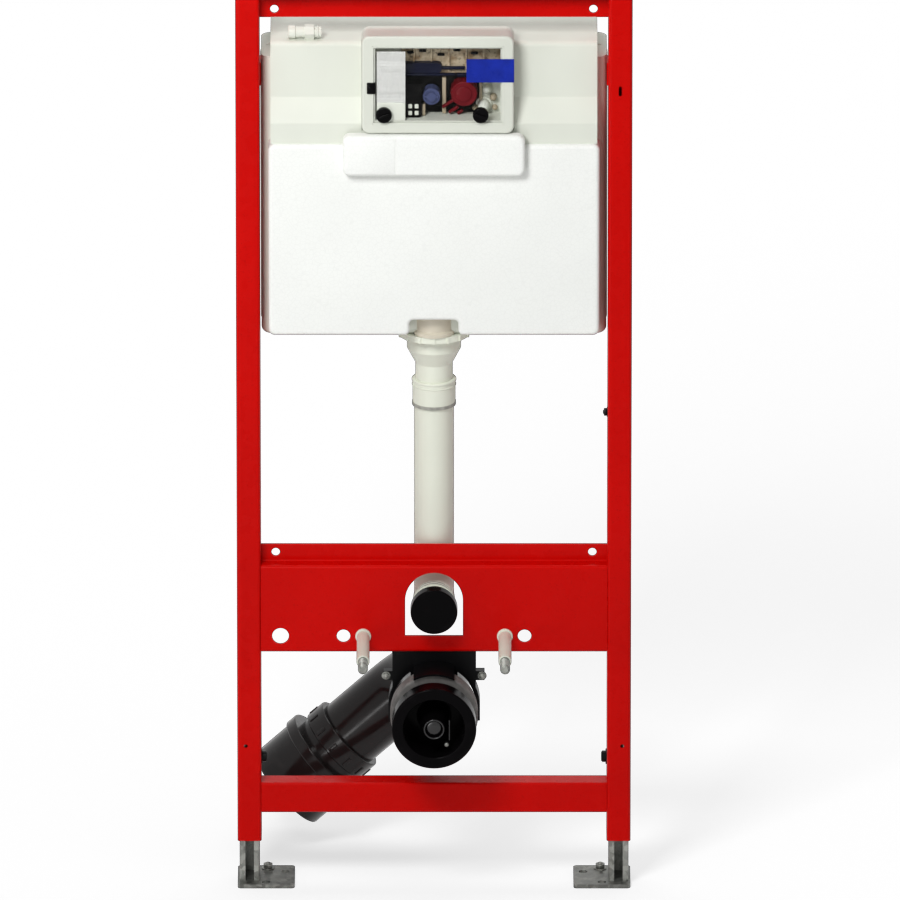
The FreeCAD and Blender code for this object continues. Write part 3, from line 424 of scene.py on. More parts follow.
def turned_form(outline, steps=40, closed=False):
    """Turn (radius, height) points about Z; a closed outline makes a ring."""
    shape = bmesh.new()
    points = [shape.verts.new((radius, 0.0, height)) for radius, height in outline]
    ends = points[1:] + points[:1] if closed else points[1:]
    lines = [shape.edges.new(pair) for pair in zip(points, ends)]
    bmesh.ops.spin(shape, geom=points + lines, cent=(0.0, 0.0, 0.0), axis=UP, angle=math.tau, steps=steps,
                   use_merge=True)
    bmesh.ops.remove_doubles(shape, verts=shape.verts, dist=1e-7)
    bmesh.ops.recalc_face_normals(shape, faces=shape.faces)
    return shape


def ring_form(inner, outer, height, edge):
    """Flat ring with chamfered outer rims."""
    outline = [(inner, 0.0), (outer - edge, 0.0), (outer, edge), (outer, height - edge),
               (outer - edge, height), (inner, height)]
    return turned_form(outline, closed=True)


def bead_form(radius, thick):
    """Round bead bent into a ring."""
    arc = [math.radians(angle) for angle in range(0, 360, 30)]
    outline = [(radius + thick / 2 * math.cos(a), thick / 2 * math.sin(a)) for a in arc]
    return turned_form(outline, closed=True)


def dome_form(radius, height):
    """Low dome on a short rim."""
    rim = height * 0.35
    arc = [math.radians(angle) for angle in range(0, 91, 15)]
    outline = [(radius, 0.0)] + [(radius * math.cos(a), rim + (height - rim) * math.sin(a)) for a in arc]
    return turned_form(outline)


def rod_form(radius, run, nose):
    """Round rod with narrowed ends."""
    end = radius * 0.8
    outline = [(0.0, 0.0), (end, 0.0), (radius, nose), (radius, run - nose), (end, run), (0.0, run)]
    return turned_form(outline, steps=20)


def hexagon(radius, height):
    """Six-sided nut or bolt head with chamfered rims."""
    shape = bmesh.new()
    bmesh.ops.create_cone(shape, cap_ends=True, segments=6, radius1=radius, radius2=radius, depth=height,
                          matrix=at(UP * height / 2))
    bmesh.ops.bevel(shape, geom=shape.edges[:], offset=radius * 0.09, offset_type="OFFSET", affect="EDGES",
                    segments=2, profile=0.5, material=-1)
    return shape


def thread_form(root, crest, pitch, turns, steps=20):
    """Helical ridge from its root to its crest, spun up along Z."""
    shape = bmesh.new()
    ridge = [(root, 0.0), (crest, 0.40 * pitch), (crest, 0.52 * pitch), (root, 0.92 * pitch)]
    points = [shape.verts.new((radius, 0.0, height)) for radius, height in ridge]
    lines = [shape.edges.new(pair) for pair in zip(points, points[1:])]
    bmesh.ops.spin(shape, geom=points + lines, cent=(0.0, 0.0, 0.0), axis=UP, dvec=UP * pitch / steps,
                   angle=math.tau * turns, steps=steps * turns, use_merge=False)
    bmesh.ops.recalc_face_normals(shape, faces=shape.faces)
    return shape


def weld_form(run, radius, pitch):
    """Weld bead: flattened ripples that overlap along a run."""
    shape = bmesh.new()
    flattened = Matrix.Diagonal((1.0, 1.0, 0.75, 1.0))
    for index in range(int(run / pitch) + 1):
        place = at(UP * index * pitch) @ flattened
        bmesh.ops.create_icosphere(shape, subdivisions=2, radius=radius, matrix=place)
    return shape


def frame_ring(width, height, corner, band, thick):
    """Upright frame: a rounded rectangle with its middle taken out."""
    shape = bmesh.new()
    bmesh.ops.create_grid(shape, x_segments=1, y_segments=1, size=0.5)
    bmesh.ops.scale(shape, vec=(width, height, 1.0), verts=shape.verts)
    bmesh.ops.bevel(shape, geom=shape.verts[:], offset=corner, offset_type="OFFSET", affect="VERTICES",
                    segments=8, profile=0.5, material=-1)
    middle = shape.faces[:]
    bmesh.ops.inset_region(shape, faces=middle, thickness=band, use_boundary=True, use_even_offset=True)
    bmesh.ops.delete(shape, geom=middle, context="FACES")
    bmesh.ops.solidify(shape, geom=shape.faces[:], thickness=thick)
    bmesh.ops.recalc_face_normals(shape, faces=shape.faces)
    upright = Matrix.Rotation(math.pi / 2, 3, "X")
    bmesh.ops.rotate(shape, cent=(0.0, 0.0, 0.0), matrix=upright, verts=shape.verts)
    return shape


class Piece:
    """Shapes gathered under one name, finish and body."""

    def __init__(self, name, slot, body="frame", finish=None):
        self.name, self.slot, self.body = name, slot, body
        self.finish = finish or slot
        self.mesh = bpy.data.meshes.new(name)
        self.shapes = bmesh.new()

    def add(self, shape, place):
        shape.transform(place)
        shape.to_mesh(self.mesh)
        shape.free()
        self.shapes.from_mesh(self.mesh)

    def bolt(self, base, axis, radius, height):
        """Washer, six-sided head and the bolt's rounded end."""
        place = along(base, axis)
        shank = radius * 0.55
        washer = height * 0.22
        self.add(ring_form(shank, radius * 1.32, washer, washer * 0.25), place)
        self.add(hexagon(radius, height), place @ at(UP * washer))
        self.add(dome_form(shank, height * 0.35), place @ at(UP * (washer + height)))

    def done(self, context, replaces=None):
        """Make the object, give it its finish and set it on its body."""
        self.shapes.to_mesh(self.mesh)
        self.shapes.free()
        if not self.mesh.polygons:
            raise ValueError(self.name + " has no faces")
        self.mesh.shade_smooth()
        self.mesh.set_sharp_from_angle(angle=SHARP_ANGLE)
        self.mesh.materials.append(finishes(context.scene.frame_colours)[self.finish])
        piece = bpy.data.objects.new(self.name, self.mesh)
        context.scene.collection.objects.link(piece)
        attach(piece, self.body)
        if replaces:
            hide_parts(replaces)


# Operators

class TOILETFRAME_OT_steel(bpy.types.Operator):
    """Finish the posts, rails and brackets and add the welds and the side bolt"""
    bl_idname = "toiletframe.steel"
    bl_label = "Steel frame"

    weld_runs = {"top_rail": 26.0, "fixing_plate": 18.0, "bottom_rail": 32.0}
    weld_margin = 4.0
    bolt_place = (0.0, -7.0, 636.0)
    bolt_head = (4.8, 3.6)

    def execute(self, context):
        dress(context, ["left_post", "right_post", "top_rail", "fixing_plate", "bottom_rail",
                        "left_cistern_bracket", "right_cistern_bracket"])
        sizes = context.scene.frame_sizes
        welds = Piece("frame_welds", "red_steel")
        for rail, run in self.weld_runs.items():
            low, high = corners(rail)
            for x in (low.x, high.x):
                base = Vector((x, high.y, high.z)) - mm(0.0, 0.0, run + self.weld_margin)
                welds.add(weld_form(run * MM, sizes.weld_radius, sizes.weld_pitch), at(base))
        welds.done(context)
        inner_face = Vector((corners("right_post")[0].x, 0.0, 0.0))
        bolt = Piece("post_side_bolt", "black_fixing")
        bolt.bolt(inner_face + mm(*self.bolt_place), LEFT, *mm(*self.bolt_head))
        bolt.done(context)
        return {"FINISHED"}


class TOILETFRAME_OT_feet(bpy.types.Operator):
    """Finish the telescopic feet and add their bolts and the clamp screws' washers"""
    bl_idname = "toiletframe.feet"
    bl_label = "Feet"

    bolt_inset = 38.0
    bolt_back = 10.0
    bolt_head = (6.2, 5.2)
    washer = (7.2, 9.8, 1.4, 0.4)
    socket_rim = (3.4, 6.0, 0.9, 0.3)

    def execute(self, context):
        for word, side in SIDES:
            dress(context, [word + "_leg", word + "_clamp_screw"])
            # the foot plates take the darker zinc copy, painted shade on their tops
            dress(context, [word + "_foot_plate"], "painted_shade_zinc")
            low, high = corners(word + "_foot_plate")
            outer = low.x if side < 0 else high.x
            base = Vector((outer, high.y, high.z)) - mm(side * self.bolt_inset, self.bolt_back, 0.0)
            bolt = Piece(word + "_foot_bolt", "zinc_steel", word + "_foot")
            bolt.bolt(base, UP, *mm(*self.bolt_head))
            bolt.done(context)
            self.clamp_trim(context, word, side)
        return {"FINISHED"}

    def clamp_trim(self, context, word, side):
        """Washer behind the clamp screw's head and the socket rim on its end."""
        low, high = corners(word + "_clamp_screw")
        middle = (low + high) / 2
        post_low, post_high = corners(word + "_post")
        face = post_low.x if side > 0 else post_high.x
        head = low.x if side > 0 else high.x
        inward = Vector((-side, 0.0, 0.0))
        trim = Piece(word + "_clamp_trim", "black_fixing")
        for x, ring in ((face, self.washer), (head, self.socket_rim)):
            trim.add(ring_form(*mm(*ring)), along(Vector((x, middle.y, middle.z)), inward))
        trim.done(context)


class TOILETFRAME_OT_cistern(bpy.types.Operator):
    """Finish the cistern and add its seam and back ribs, the pad's step and the inlet's collars"""
    bl_idname = "toiletframe.cistern"
    bl_label = "Cistern"

    seam = (12.0, 6.0, 3.0)     # corner, band and thickness
    step_margin = 4.0
    step_width = 62.0
    step_thick = 1.2
    step_edge = 0.54
    back_ribs = (-150.0, -90.0, -30.0, 30.0, 90.0, 150.0)
    cross_ribs = (0.22, 0.5, 0.78)      # shares of the ribs' height
    rib_margin = 26.0
    rib_width = 9.0
    rib_depth = 5.0
    rib_edge = 2.25
    cross_depth = 4.5
    cross_edge = 2.0
    inlet_collar = (7.1, 8.4, 10.0, 1.2)
    inlet_rim = (7.1, 8.0, 3.0, 0.8)
    inlet_rim_place = (36.0, 0.0, 0.0)

    def execute(self, context):
        dress(context, ["cistern_tank", "insulation_shell", "cistern_lid", "front_pad", "inlet_fitting"])
        rise = context.scene.frame_sizes.seam_rise
        low, high = corners("cistern_tank")
        seam = Piece("tank_seam", "tank_plastic")
        ring = frame_ring(high.x - low.x + 2 * rise, high.z - low.z + 2 * rise, *mm(*self.seam))
        seam.add(ring, at((low + high) / 2))
        seam.done(context)
        self.pad_step(context)
        self.stiffen_back(context, low, high)
        self.inlet_trim(context)
        return {"FINISHED"}

    def pad_step(self, context):
        """Low step on the left part of the pad."""
        low, high = corners("front_pad")
        height = (high.z - low.z) / MM - 2 * self.step_margin
        left = Vector((low.x, low.y, (low.z + high.z) / 2))
        step = Piece("pad_step", "white_foam")
        step.add(block(self.step_width, self.step_thick, height, self.step_edge),
                 at(left + mm(self.step_margin + self.step_width / 2, 0.0, 0.0)))
        step.done(context)

    def stiffen_back(self, context, low, high):
        """Rounded ribs, moulded across and up the tank's back."""
        centre = Vector(((low.x + high.x) / 2, high.y, (low.z + high.z) / 2))
        across = (high.x - low.x) / MM - 2 * self.rib_margin
        upward = (high.z - low.z) / MM - 2 * self.rib_margin
        ribs = Piece("tank_back_ribs", "tank_plastic")
        for x in self.back_ribs:
            upright = block(self.rib_width, self.rib_depth, upward, self.rib_edge)
            ribs.add(upright, at(centre + mm(x, 0.0, 0.0)))
        for share in self.cross_ribs:
            level = block(across, self.cross_depth, self.rib_width, self.cross_edge)
            ribs.add(level, at(centre + mm(0.0, 0.0, (share - 0.5) * upward)))
        ribs.done(context)

    def inlet_trim(self, context):
        """Grip collar and a thin rim on the inlet stub."""
        low, high = corners("inlet_fitting")
        start = Vector((low.x, (low.y + high.y) / 2, (low.z + high.z) / 2))
        trim = Piece("inlet_trim", "tank_plastic")
        trim.add(ring_form(*mm(*self.inlet_collar)), along(start, RIGHT))
        trim.add(ring_form(*mm(*self.inlet_rim)), along(start + mm(*self.inlet_rim_place), RIGHT))
        trim.done(context)


class TOILETFRAME_OT_opening(bpy.types.Operator):
    """Finish the inspection opening and add its gasket and the fittings behind the cover"""
    bl_idname = "toiletframe.opening"
    bl_label = "Inspection opening"

    panel_thick = 4.0
    lining = {"x": (-46.0, 79.0), "rise": (70.0, 112.0), "thick": 2.0}
    lining_ribs = (-30.0, -8.0, 14.0, 36.0, 58.0)
    rib = {"width": 2.4, "depth": 4.0, "margin": 2.0, "edge": 0.8, "stand": 1.0}
    # sizes of a black sheet that is painted shade in the lower part of the opening
    recess = {"x": (-46.0, 56.0), "rise": (17.5, 70.0), "thick": 1.6}
    sheet_edge = 0.6
    lining_clips = ((-34.0, 98.0), (-19.0, 100.0), (4.0, 95.0), (24.0, 101.0), (46.0, 97.0))
    clip = (9.0, 3.0, 3.4, 0.8)
    clip_stand = 1.5
    tray = {"wall": 16.5, "thick": 2.4, "edge": 0.72}
    gasket = (2.0, 1.6, 0.8)    # corner, band and thickness
    gasket_margin = 0.4
    gasket_stand = 0.4
    cover_bar = (14.0, 3.2, 3.6, 1.0)
    cover_bar_stand = 0.8
    cover_bar_turn = 0.35
    grips = 16
    grip = {"width": 2.2, "height": 1.6, "edge": 0.5, "run": 0.8, "middle": 0.55}
    flush_button = {"share": 0.62, "height": 2.2}
    fill_bar = (18.0, 4.0, 4.5, 1.2)
    fill_button = (6.5, 2.4)
    fill_button_stand = 1.0
    pale_domes = ((58.0, 28.0, 8.0, 18.0), (62.0, 50.0, 5.5, 14.0), (49.0, 66.0, 4.5, 12.0))
    flange = {"inner": 0.7, "outer": 1.3, "height": 3.0, "edge": 0.8}
    valve_shares = {"x": (0.42, 0.76), "rise": (0.14, 0.34)}
    valve_block = (5.0, 2.4, 5.6, 0.9)
    beige_domes = ((70.0, 38.0, 4.5, 10.0), (68.0, 63.0, 5.0, 9.0), (47.0, 24.0, 4.0, 8.0),
                   (72.0, 24.0, 3.5, 7.0))
    posts = ((8.0, 5.0, 48.0, 8.0), (-18.0, 4.5, 15.0, 16.0), (54.0, 4.0, 40.0, 6.0))
    post_edge = 1.0
    rods = ((5.0, 34.0, 78.0, 6.0, 2.2), (-45.0, 22.0, 70.5, 10.0, 1.8), (24.0, 52.0, 69.0, 8.0, 2.6))
    rod_nose = 0.8
    red_links = ((13.0, 32.0, 18.0), (20.0, 24.0, 15.0), (28.0, 21.0, 9.0))
    link = {"depth": 5.0, "height": 4.0, "edge": 1.4, "stand": 10.0, "turn": -0.6}
    latch_spot = (-84.0, 61.0)
    latch_blocks = ((11.0, 4.0, 15.0, 1.3), (7.0, 5.5, 4.0, 1.0))

    def execute(self, context):
        dress(context, ["inspection_box"], "box_moulding")
        dress(context, ["clear_cover", "info_card", "cover_tag", "lift_lever", "fill_valve",
                        "fill_knob", "flush_knob", "left_cover_knob", "right_cover_knob"])
        low, high = corners("inspection_box")
        self.front = low.y
        self.corner = Vector(((low.x + high.x) / 2, high.y - self.panel_thick * MM, low.z))
        self.back_panel(context)
        self.card_tray(context, low.z)
        self.knob_trim(context)
        self.pale_fittings(context)
        self.beige_fittings(context)
        self.links_and_latch(context)
        self.cover_gasket(context)
        return {"FINISHED"}

    def spot(self, x, rise, stand=0.0):
        """Point in the opening: across from its middle, up from its lower edge, forward of its back."""
        return self.corner + mm(x, -stand, rise)

    def sheet(self, sizes):
        """Rounded sheet on the opening's back, with its place."""
        (left, right), (bottom, top), thick = sizes["x"], sizes["rise"], sizes["thick"]
        middle = self.spot((left + right) / 2, (bottom + top) / 2, thick / 2)
        return block(right - left, thick, top - bottom, self.sheet_edge), at(middle)

    def back_panel(self, context):
        """Beige ribbed lining on the upper back, and in black its clips and a sheet of painted shade in the
        recess below it.
        """
        bottom, top = self.lining["rise"]
        thick, rib = self.lining["thick"], self.rib
        panel = Piece("back_lining", "tank_plastic", finish="beige_lining")
        panel.add(*self.sheet(self.lining))
        for x in self.lining_ribs:
            upright = block(rib["width"], rib["depth"], top - bottom - 2 * rib["margin"], rib["edge"])
            panel.add(upright, at(self.spot(x, (bottom + top) / 2, thick + rib["stand"])))
        panel.done(context)
        # black sheet at the opening's back: painted shade below the lining
        recess = Piece("painted_shade_sheet", "black_plastic")
        recess.add(*self.sheet(self.recess))
        for x, rise in self.lining_clips:
            recess.add(block(*self.clip), at(self.spot(x, rise, thick + self.clip_stand)))
        recess.done(context)

    def card_tray(self, context, box_bottom):
        """Pale tray that the card stands in, down to the box's lower wall."""
        low, high = corners("info_card")
        floor = box_bottom + self.tray["wall"] * MM
        size = Vector((high.x - low.x, self.tray["thick"] * MM, low.z - floor))
        centre = Vector(((low.x + high.x) / 2, high.y, (low.z + floor) / 2))
        tray = Piece("card_tray", "tank_plastic")
        tray.add(rounded_block(size, self.tray["edge"] * MM), at(centre))
        tray.done(context)

    def knob_trim(self, context):
        """Grip bars on the cover knobs, ribs round the red knob and a bar on the blue-grey one."""
        bars = Piece("cover_knob_bars", "black_plastic")
        for word, side in SIDES:
            middle = front_middle(*corners(word + "_cover_knob")) - mm(0.0, self.cover_bar_stand, 0.0)
            turn = Matrix.Rotation(self.cover_bar_turn * side, 4, "Y")
            bars.add(block(*self.cover_bar), at(middle) @ turn)
        bars.done(context)
        low, high = corners("flush_knob")
        centre = front_middle(low, high)
        radius, depth = (high.x - low.x) / 2, high.y - low.y
        grip = self.grip
        grips = Piece("flush_knob_grips", "red_plastic")
        for index in range(self.grips):
            turn = Matrix.Rotation(math.tau * index / self.grips, 4, "Y")
            place = at(centre + TO_WALL * depth * grip["middle"]) @ turn @ at(UP * radius)
            grips.add(block(grip["width"], depth * grip["run"] / MM, grip["height"], grip["edge"]), place)
        button = dome_form(radius * self.flush_button["share"], self.flush_button["height"] * MM)
        grips.add(button, along(centre, TO_FRONT))
        grips.done(context)
        centre = front_middle(*corners("fill_knob"))
        bar = Piece("fill_knob_bar", "blue_grey_plastic")
        bar.add(block(*self.fill_bar), at(centre))
        base = centre - mm(0.0, self.fill_button_stand, 0.0)
        bar.add(dome_form(*mm(*self.fill_button)), along(base, TO_FRONT))
        bar.done(context)

    def pale_fittings(self, context):
        """Pale caps on flanges, and small pale blocks on the valve."""
        flange = self.flange
        pale = Piece("pale_fittings", "tank_plastic")
        for x, rise, radius, stand in self.pale_domes:
            place = along(self.spot(x, rise), TO_FRONT)
            inner, outer = flange["inner"] * radius, flange["outer"] * radius
            pale.add(dome_form(*mm(radius, stand)), place)
            pale.add(ring_form(*mm(inner, outer, flange["height"], flange["edge"])), place)
        low, high = corners("fill_valve")
        for x in self.valve_shares["x"]:
            for rise in self.valve_shares["rise"]:
                spread = Vector(((high.x - low.x) * x, 0.0, (high.z - low.z) * rise))
                pale.add(block(*self.valve_block), at(low + spread))
        pale.done(context)

    def beige_fittings(self, context):
        """Beige caps, and posts up from the recess's lower edge."""
        beige = Piece("beige_fittings", "tank_plastic", finish="beige_moulding")
        for x, rise, radius, stand in self.beige_domes:
            beige.add(dome_form(*mm(radius, stand)), along(self.spot(x, rise), TO_FRONT))
        for x, width, height, depth in self.posts:
            middle = self.spot(x, self.recess["rise"][0] + height / 2, depth / 2)
            beige.add(block(width, depth, height, self.post_edge), at(middle))
        beige.done(context)

    def links_and_latch(self, context):
        """Dark blue rods beside the lever, red links and the black latch on the rim."""
        rods = Piece("lever_rods", "navy_plastic")
        for left, right, rise, stand, radius in self.rods:
            rod = rod_form(*mm(radius, right - left, self.rod_nose))
            rods.add(rod, along(self.spot(left, rise, stand), RIGHT))
        rods.done(context)
        link = self.link
        links = Piece("red_links", "red_plastic")
        for x, rise, run in self.red_links:
            place = at(self.spot(x, rise, link["stand"])) @ Matrix.Rotation(link["turn"], 4, "Y")
            links.add(block(run, link["depth"], link["height"], link["edge"]), place)
        links.done(context)
        place = self.spot(*self.latch_spot)
        latch = Piece("rim_latch", "black_plastic")
        for sizes in self.latch_blocks:
            latch.add(block(*sizes), at(Vector((place.x, self.front, place.z))))
        latch.done(context)

    def cover_gasket(self, context):
        """Thin frame on the clear cover's edge."""
        low, high = corners("clear_cover")
        margin = self.gasket_margin * MM
        ring = frame_ring(high.x - low.x + margin, high.z - low.z + margin, *mm(*self.gasket))
        gasket = Piece("cover_gasket", "tank_plastic")
        gasket.add(ring, at(front_middle(low, high) - mm(0.0, self.gasket_stand, 0.0)))
        gasket.done(context)


class TOILETFRAME_OT_flush(bpy.types.Operator):
    """Finish the flush pipe and add the bend's seals, the neck in the notch and the socket's lip"""
    bl_idname = "toiletframe.flush"
    bl_label = "Flush pipe"

    seals = (17.0, 23.0, 29.0, 35.5)
    seal = (25.1, 26.1, 3.3, 0.5)
    neck = ((0.0, 0.0), (27.0, 0.0), (27.0, 4.0), (24.0, 6.0), (24.0, 28.0), (20.0, 32.0), (0.0, 32.0))
    neck_place = (0.0, 10.0, 0.5)
    lip_gap = 0.1
    lips = ((3.2, 1.1, 3.0, 0.8), (9.0, 0.9, 2.0, 0.6))     # drop, rise, height and chamfer

    def execute(self, context):
        dress(context, ["outlet_nut", "flush_funnel", "flush_pipe", "flush_bend"])
        dress(context, ["flush_cap"], "plug_moulding")
        dress(context, ["bead_ring"], "pale_rubber")
        low, high = corners("flush_cap")
        middle = (low + high) / 2
        seals = Piece("bend_seals", "grey_rubber")
        for back in self.seals:
            base = Vector((middle.x, high.y, middle.z)) + mm(0.0, back, 0.0)
            seals.add(ring_form(*mm(*self.seal)), along(base, TO_WALL))
        seals.done(context)
        self.outlet_neck(context)
        self.socket_lip(context)
        return {"FINISHED"}

    def outlet_neck(self, context):
        """Turned neck in the jacket's notch, cut off flat at the tank's front."""
        low = corners("cistern_tank")[0]
        shape = turned_form([mm(*point) for point in self.neck])
        shape.transform(at(Vector((0.0, low.y, low.z)) + mm(*self.neck_place)))
        cut = bmesh.ops.bisect_plane(shape, geom=shape.verts[:] + shape.edges[:] + shape.faces[:],
                                     plane_co=low, plane_no=TO_WALL, clear_outer=True)
        rim = [item for item in cut["geom_cut"] if isinstance(item, bmesh.types.BMEdge)]
        bmesh.ops.contextual_create(shape, geom=rim)
        neck = Piece("outlet_neck", "pipe_plastic", finish="neck_moulding")
        neck.add(shape, Matrix.Identity(4))
        neck.done(context)

    def socket_lip(self, context):
        """Two thin rings round the pipe's upper end."""
        low, high = corners("flush_pipe")
        top = Vector(((low.x + high.x) / 2, (low.y + high.y) / 2, high.z))
        radius = (high.x - low.x) / 2 / MM
        lip = Piece("socket_lip", "pipe_plastic")
        for drop, rise, height, edge in self.lips:
            ring = ring_form(*mm(radius + self.lip_gap, radius + rise, height, edge))
            lip.add(ring, at(top - mm(0.0, 0.0, drop)))
        lip.done(context)


class TOILETFRAME_OT_waste(bpy.types.Operator):
    """Finish the waste pipe and add its collar lugs, the plug's trim and the hanger's bolts"""
    bl_idname = "toiletframe.waste"
    bl_label = "Waste pipe"

    lugs = 12
    lug = (2.4, 5.0, 13.0, 0.8)
    lug_place = (51.7, 0.0, -93.0)
    cone_bead = (12.25, 2.2)    # radius and thickness
    core = (10.8, 4.0)
    core_place = (0.0, 6.0, 0.0)
    web = (1.6, 46.0, 27.0, 0.56)
    web_place = (19.5, 27.0, -3.0)
    screw = (2.7, 2.4)
    screw_place = (16.0, 4.0, -22.0)
    ear_reach = 61.0
    ear_setback = 22.0
    ear_rise = 39.0
    bolt_head = (4.2, 3.6)

    def execute(self, context):
        dress(context, ["waste_bend", "waste_branch"], "drain_pipe")
        dress(context, ["pipe_clip", "waste_hanger"])
        dress(context, ["waste_cap"], "plug_moulding")
        outlet = next(row for row in frame["record"]["mounts"] if row["name"] == "drain_outlet")
        place = along(outlet["pos_m"], outlet["axis"])
        lugs = Piece("collar_lugs", "black_plastic", finish="drain_pipe")
        for index in range(self.lugs):
            turn = Matrix.Rotation(math.tau * (index + 0.5) / self.lugs, 4, "Z")
            lugs.add(block(*self.lug), place @ turn @ at(mm(*self.lug_place)))
        lugs.done(context)
        front = front_middle(*corners("waste_cap"))
        self.plug_trim(context, front)
        back = corners("waste_hanger")[1].y
        bolts = Piece("hanger_bolts", "zinc_steel")
        for _, side in SIDES:
            ear = Vector((0.0, back, front.z)) + mm(side * self.ear_reach, -self.ear_setback, self.ear_rise)
            bolts.bolt(ear, TO_FRONT, *mm(*self.bolt_head))
        bolts.done(context)
        return {"FINISHED"}

    def plug_trim(self, context, front):
        """Bead and core of the plug's cone, a web that stands on the cup's floor and a screw in the nub."""
        trim = Piece("plug_trim", "black_plastic", finish="gloss_black")
        trim.add(bead_form(*mm(*self.cone_bead)), along(front, TO_WALL))
        trim.add(dome_form(*mm(*self.core)), along(front + mm(*self.core_place), TO_FRONT))
        trim.add(block(*self.web), at(front + mm(*self.web_place)))
        trim.done(context)
        screw = Piece("plug_screw", "zinc_steel")
        screw.add(dome_form(*mm(*self.screw)), along(front + mm(*self.screw_place), TO_FRONT))
        screw.done(context)


class TOILETFRAME_OT_studs(bpy.types.Operator):
    """Cut the studs' threads and add a nut near the wall end of each"""
    bl_idname = "toiletframe.studs"
    bl_label = "Pan studs"

    core_steps = 24
    tip_chamfer = 1.2
    thread_length = 29.0
    thread_start = 0.4
    thread_sink = 0.2
    nut = (9.8, 5.5)
    nut_setback = 6.0

    def execute(self, context):
        sizes = context.scene.frame_sizes
        chamfer = self.tip_chamfer * MM
        turns = int(self.thread_length * MM / sizes.thread_pitch)
        for word, _ in SIDES:
            dress(context, [word + "_stud", word + "_stud_sleeve"])
            low, high = corners(word + "_stud")
            tip = front_middle(low, high)
            reach = high.y - low.y
            crest = (high.x - low.x) / 2
            root = crest - sizes.thread_depth
            outline = [(0.0, 0.0), (root - chamfer, 0.0), (root, chamfer), (root, reach), (0.0, reach)]
            stud = Piece(word + "_threaded_stud", "zinc_steel")
            stud.add(turned_form(outline, self.core_steps), along(tip, TO_WALL))
            ridge = thread_form(root - self.thread_sink * MM, crest, sizes.thread_pitch, turns)
            stud.add(ridge, along(tip + mm(0.0, self.thread_start, 0.0), TO_WALL))
            seat = Vector((tip.x, high.y, tip.z)) - mm(0.0, self.nut_setback, 0.0)
            stud.add(hexagon(*mm(*self.nut)), along(seat, TO_WALL))
            stud.done(context, word + "_stud")
        return {"FINISHED"}


class TOILETFRAME_OT_stage(bpy.types.Operator):
    """Set the floor, lamps, backdrop and camera"""
    bl_idname = "toiletframe.stage"
    bl_label = "Studio"

    def execute(self, context):
        lay_floor(context.scene)
        hang_lamps(context.scene)
        white_world(context.scene)
        aim_camera(context.scene)
        context.scene.view_settings.view_transform = "Standard"
        return {"FINISHED"}


# Studio

def seen_rays(tree):
    """Socket that is 1 for what the camera, a reflection or a clear part sees, and 0 for other light."""
    path = tree.nodes.new("ShaderNodeLightPath")
    seen = path.outputs["Is Camera Ray"]
    for name in ("Is Glossy Ray", "Is Transmission Ray"):
        larger = tree.nodes.new("ShaderNodeMath")
        larger.operation = "MAXIMUM"
        tree.links.new(seen, larger.inputs[0])
        tree.links.new(path.outputs[name], larger.inputs[1])
        seen = larger.outputs[0]
    return seen


def lay_floor(scene):
    """Pale floor that shows the object's shadow, white to the camera and to reflections."""
    mesh = bpy.data.meshes.new("studio_floor")
    shape = bmesh.new()
    bmesh.ops.create_grid(shape, x_segments=1, y_segments=1, size=scene.frame_stage.floor_size / 2)
    shape.to_mesh(mesh)
    shape.free()
    floor = bpy.data.objects.new("studio_floor", mesh)
    scene.collection.objects.link(floor)
    floor.is_shadow_catcher = True
    pale = Finish("pale_floor", (0.80, 0.80, 0.80), 0.9)
    pale.paint(pale.blend(pale.noise(0.8), (0.79, 0.79, 0.79), (0.81, 0.81, 0.81)))
    pale.shader.inputs["Emission Color"].default_value = (1.0, 1.0, 1.0, 1.0)
    camera_ray = pale.node("ShaderNodeLightPath").outputs["Is Camera Ray"]
    seen = seen_rays(pale.tree)
    mirrored = pale.node("ShaderNodeMath", {"operation": "MULTIPLY"}, _0=seen, _1=FLOOR_GLOW)
    glow = pale.node("ShaderNodeMath", {"operation": "MAXIMUM"}, _0=camera_ray, _1=mirrored.outputs[0])
    pale.paint(glow.outputs[0], "Emission Strength")
    mesh.materials.append(pale.material)


def area_lamp(scene, name, energy, size, place, target, roll=0.0):
    """Rectangular lamp that faces a point, turned about its own beam by roll."""
    data = bpy.data.lights.new(name, "AREA")
    data.energy = energy
    data.shape = "RECTANGLE"
    data.size, data.size_y = size
    lamp = bpy.data.objects.new(name, data)
    scene.collection.objects.link(lamp)
    lamp.location = place
    beam = (Vector(target) - Vector(place)).to_track_quat("-Z", "Y")
    lamp.rotation_euler = (beam @ Quaternion(UP, roll)).to_euler()


def hang_lamps(scene):
    """Key lamp upper left, a wide fill to the right, one above and behind, and a low strip in front."""
    stage = scene.frame_stage
    area_lamp(scene, "key_lamp", stage.key_power, size=(0.75, 0.75), place=(-0.75, -1.70, 2.40),
              target=(0.0, 0.0, 0.85))
    area_lamp(scene, "fill_lamp", stage.fill_power, size=(2.4, 2.4), place=(2.6, -2.6, 1.8),
              target=(0.0, 0.0, 0.60))
    area_lamp(scene, "top_lamp", stage.top_power, size=(1.8, 0.9), place=(0.0, 0.9, 2.70),
              target=(0.0, 0.05, 1.0))
    area_lamp(scene, "strip_lamp", stage.strip_power, size=(0.28, 1.2), place=(-0.95, -2.4, 0.35),
              target=(-0.1, 0.1, 0.20), roll=math.radians(-48.0))


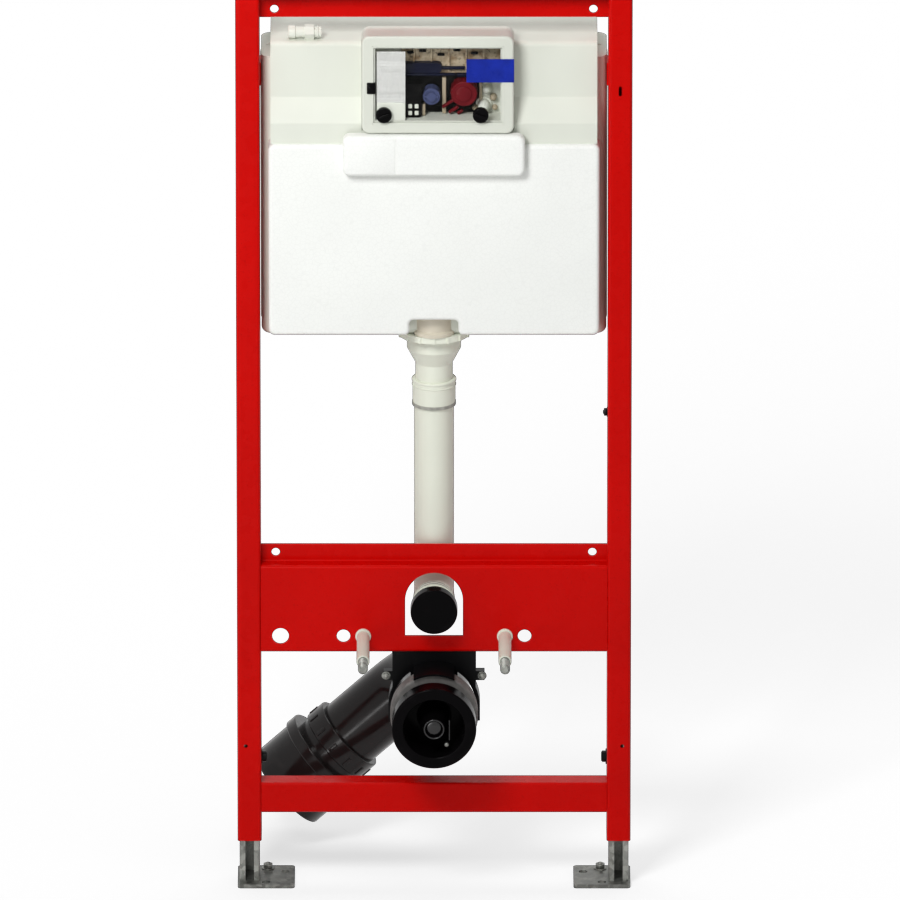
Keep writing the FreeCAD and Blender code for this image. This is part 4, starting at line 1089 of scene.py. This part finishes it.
def white_world(scene):
    """White to the camera, in reflections and through clear parts; even light elsewhere."""
    world = bpy.data.worlds.new("studio_world")
    world.use_nodes = True
    nodes, links = world.node_tree.nodes, world.node_tree.links
    nodes.clear()
    white = nodes.new("ShaderNodeBackground")
    white.inputs["Strength"].default_value = 1.0
    even = nodes.new("ShaderNodeBackground")
    even.inputs["Strength"].default_value = scene.frame_stage.ambient
    for background in (white, even):
        background.inputs["Color"].default_value = (1.0, 1.0, 1.0, 1.0)
    mix = nodes.new("ShaderNodeMixShader")
    links.new(seen_rays(world.node_tree), mix.inputs[0])
    links.new(even.outputs[0], mix.inputs[1])
    links.new(white.outputs[0], mix.inputs[2])
    out = nodes.new("ShaderNodeOutputWorld")
    links.new(mix.outputs[0], out.inputs["Surface"])
    scene.world = world


def aim_camera(scene):
    """Long lens in front, looking down on the frame."""
    stage = scene.frame_stage
    data = bpy.data.cameras.new("front_camera")
    data.lens = stage.lens
    data.clip_end = 4 * stage.distance
    camera = bpy.data.objects.new("front_camera", data)
    scene.collection.objects.link(camera)
    aim = Vector((stage.aim_x, 0.0, stage.aim_z))
    back = Vector((0.0, -math.cos(stage.elevation), math.sin(stage.elevation)))
    camera.location = aim + back * stage.distance
    camera.rotation_euler = (-back).to_track_quat("-Z", "Y").to_euler()
    scene.camera = camera


# Panel and registration

class TOILETFRAME_PT_sidebar(bpy.types.Panel):
    """Steps that dress the frame, with its colours, sizes and stage"""
    bl_idname = "TOILETFRAME_PT_sidebar"
    bl_label = "Toilet Frame"
    bl_space_type = "VIEW_3D"
    bl_region_type = "UI"
    bl_category = "Toilet Frame"

    def draw(self, context):
        for step in STEPS:
            self.layout.operator(step.bl_idname)
        for group in (context.scene.frame_colours, context.scene.frame_sizes, context.scene.frame_stage):
            box = self.layout.box()
            for name in group.__annotations__:
                box.prop(group, name)


STEPS = (TOILETFRAME_OT_steel, TOILETFRAME_OT_feet, TOILETFRAME_OT_cistern, TOILETFRAME_OT_opening,
         TOILETFRAME_OT_flush, TOILETFRAME_OT_waste, TOILETFRAME_OT_studs, TOILETFRAME_OT_stage)
CLASSES = (FinishColours, FittingSizes, StageSettings, *STEPS, TOILETFRAME_PT_sidebar)


def register():
    for item in CLASSES:
        bpy.utils.register_class(item)
    bpy.types.Scene.frame_colours = PointerProperty(type=FinishColours)
    bpy.types.Scene.frame_sizes = PointerProperty(type=FittingSizes)
    bpy.types.Scene.frame_stage = PointerProperty(type=StageSettings)


def unregister():
    del bpy.types.Scene.frame_stage
    del bpy.types.Scene.frame_sizes
    del bpy.types.Scene.frame_colours
    for item in reversed(CLASSES):
        bpy.utils.unregister_class(item)


def main():
    register()
    bpy.ops.toiletframe.steel()
    bpy.ops.toiletframe.feet()
    bpy.ops.toiletframe.cistern()
    bpy.ops.toiletframe.opening()
    bpy.ops.toiletframe.flush()
    bpy.ops.toiletframe.waste()
    bpy.ops.toiletframe.studs()
    bpy.ops.toiletframe.stage()


if __name__ == "__main__":
    main()
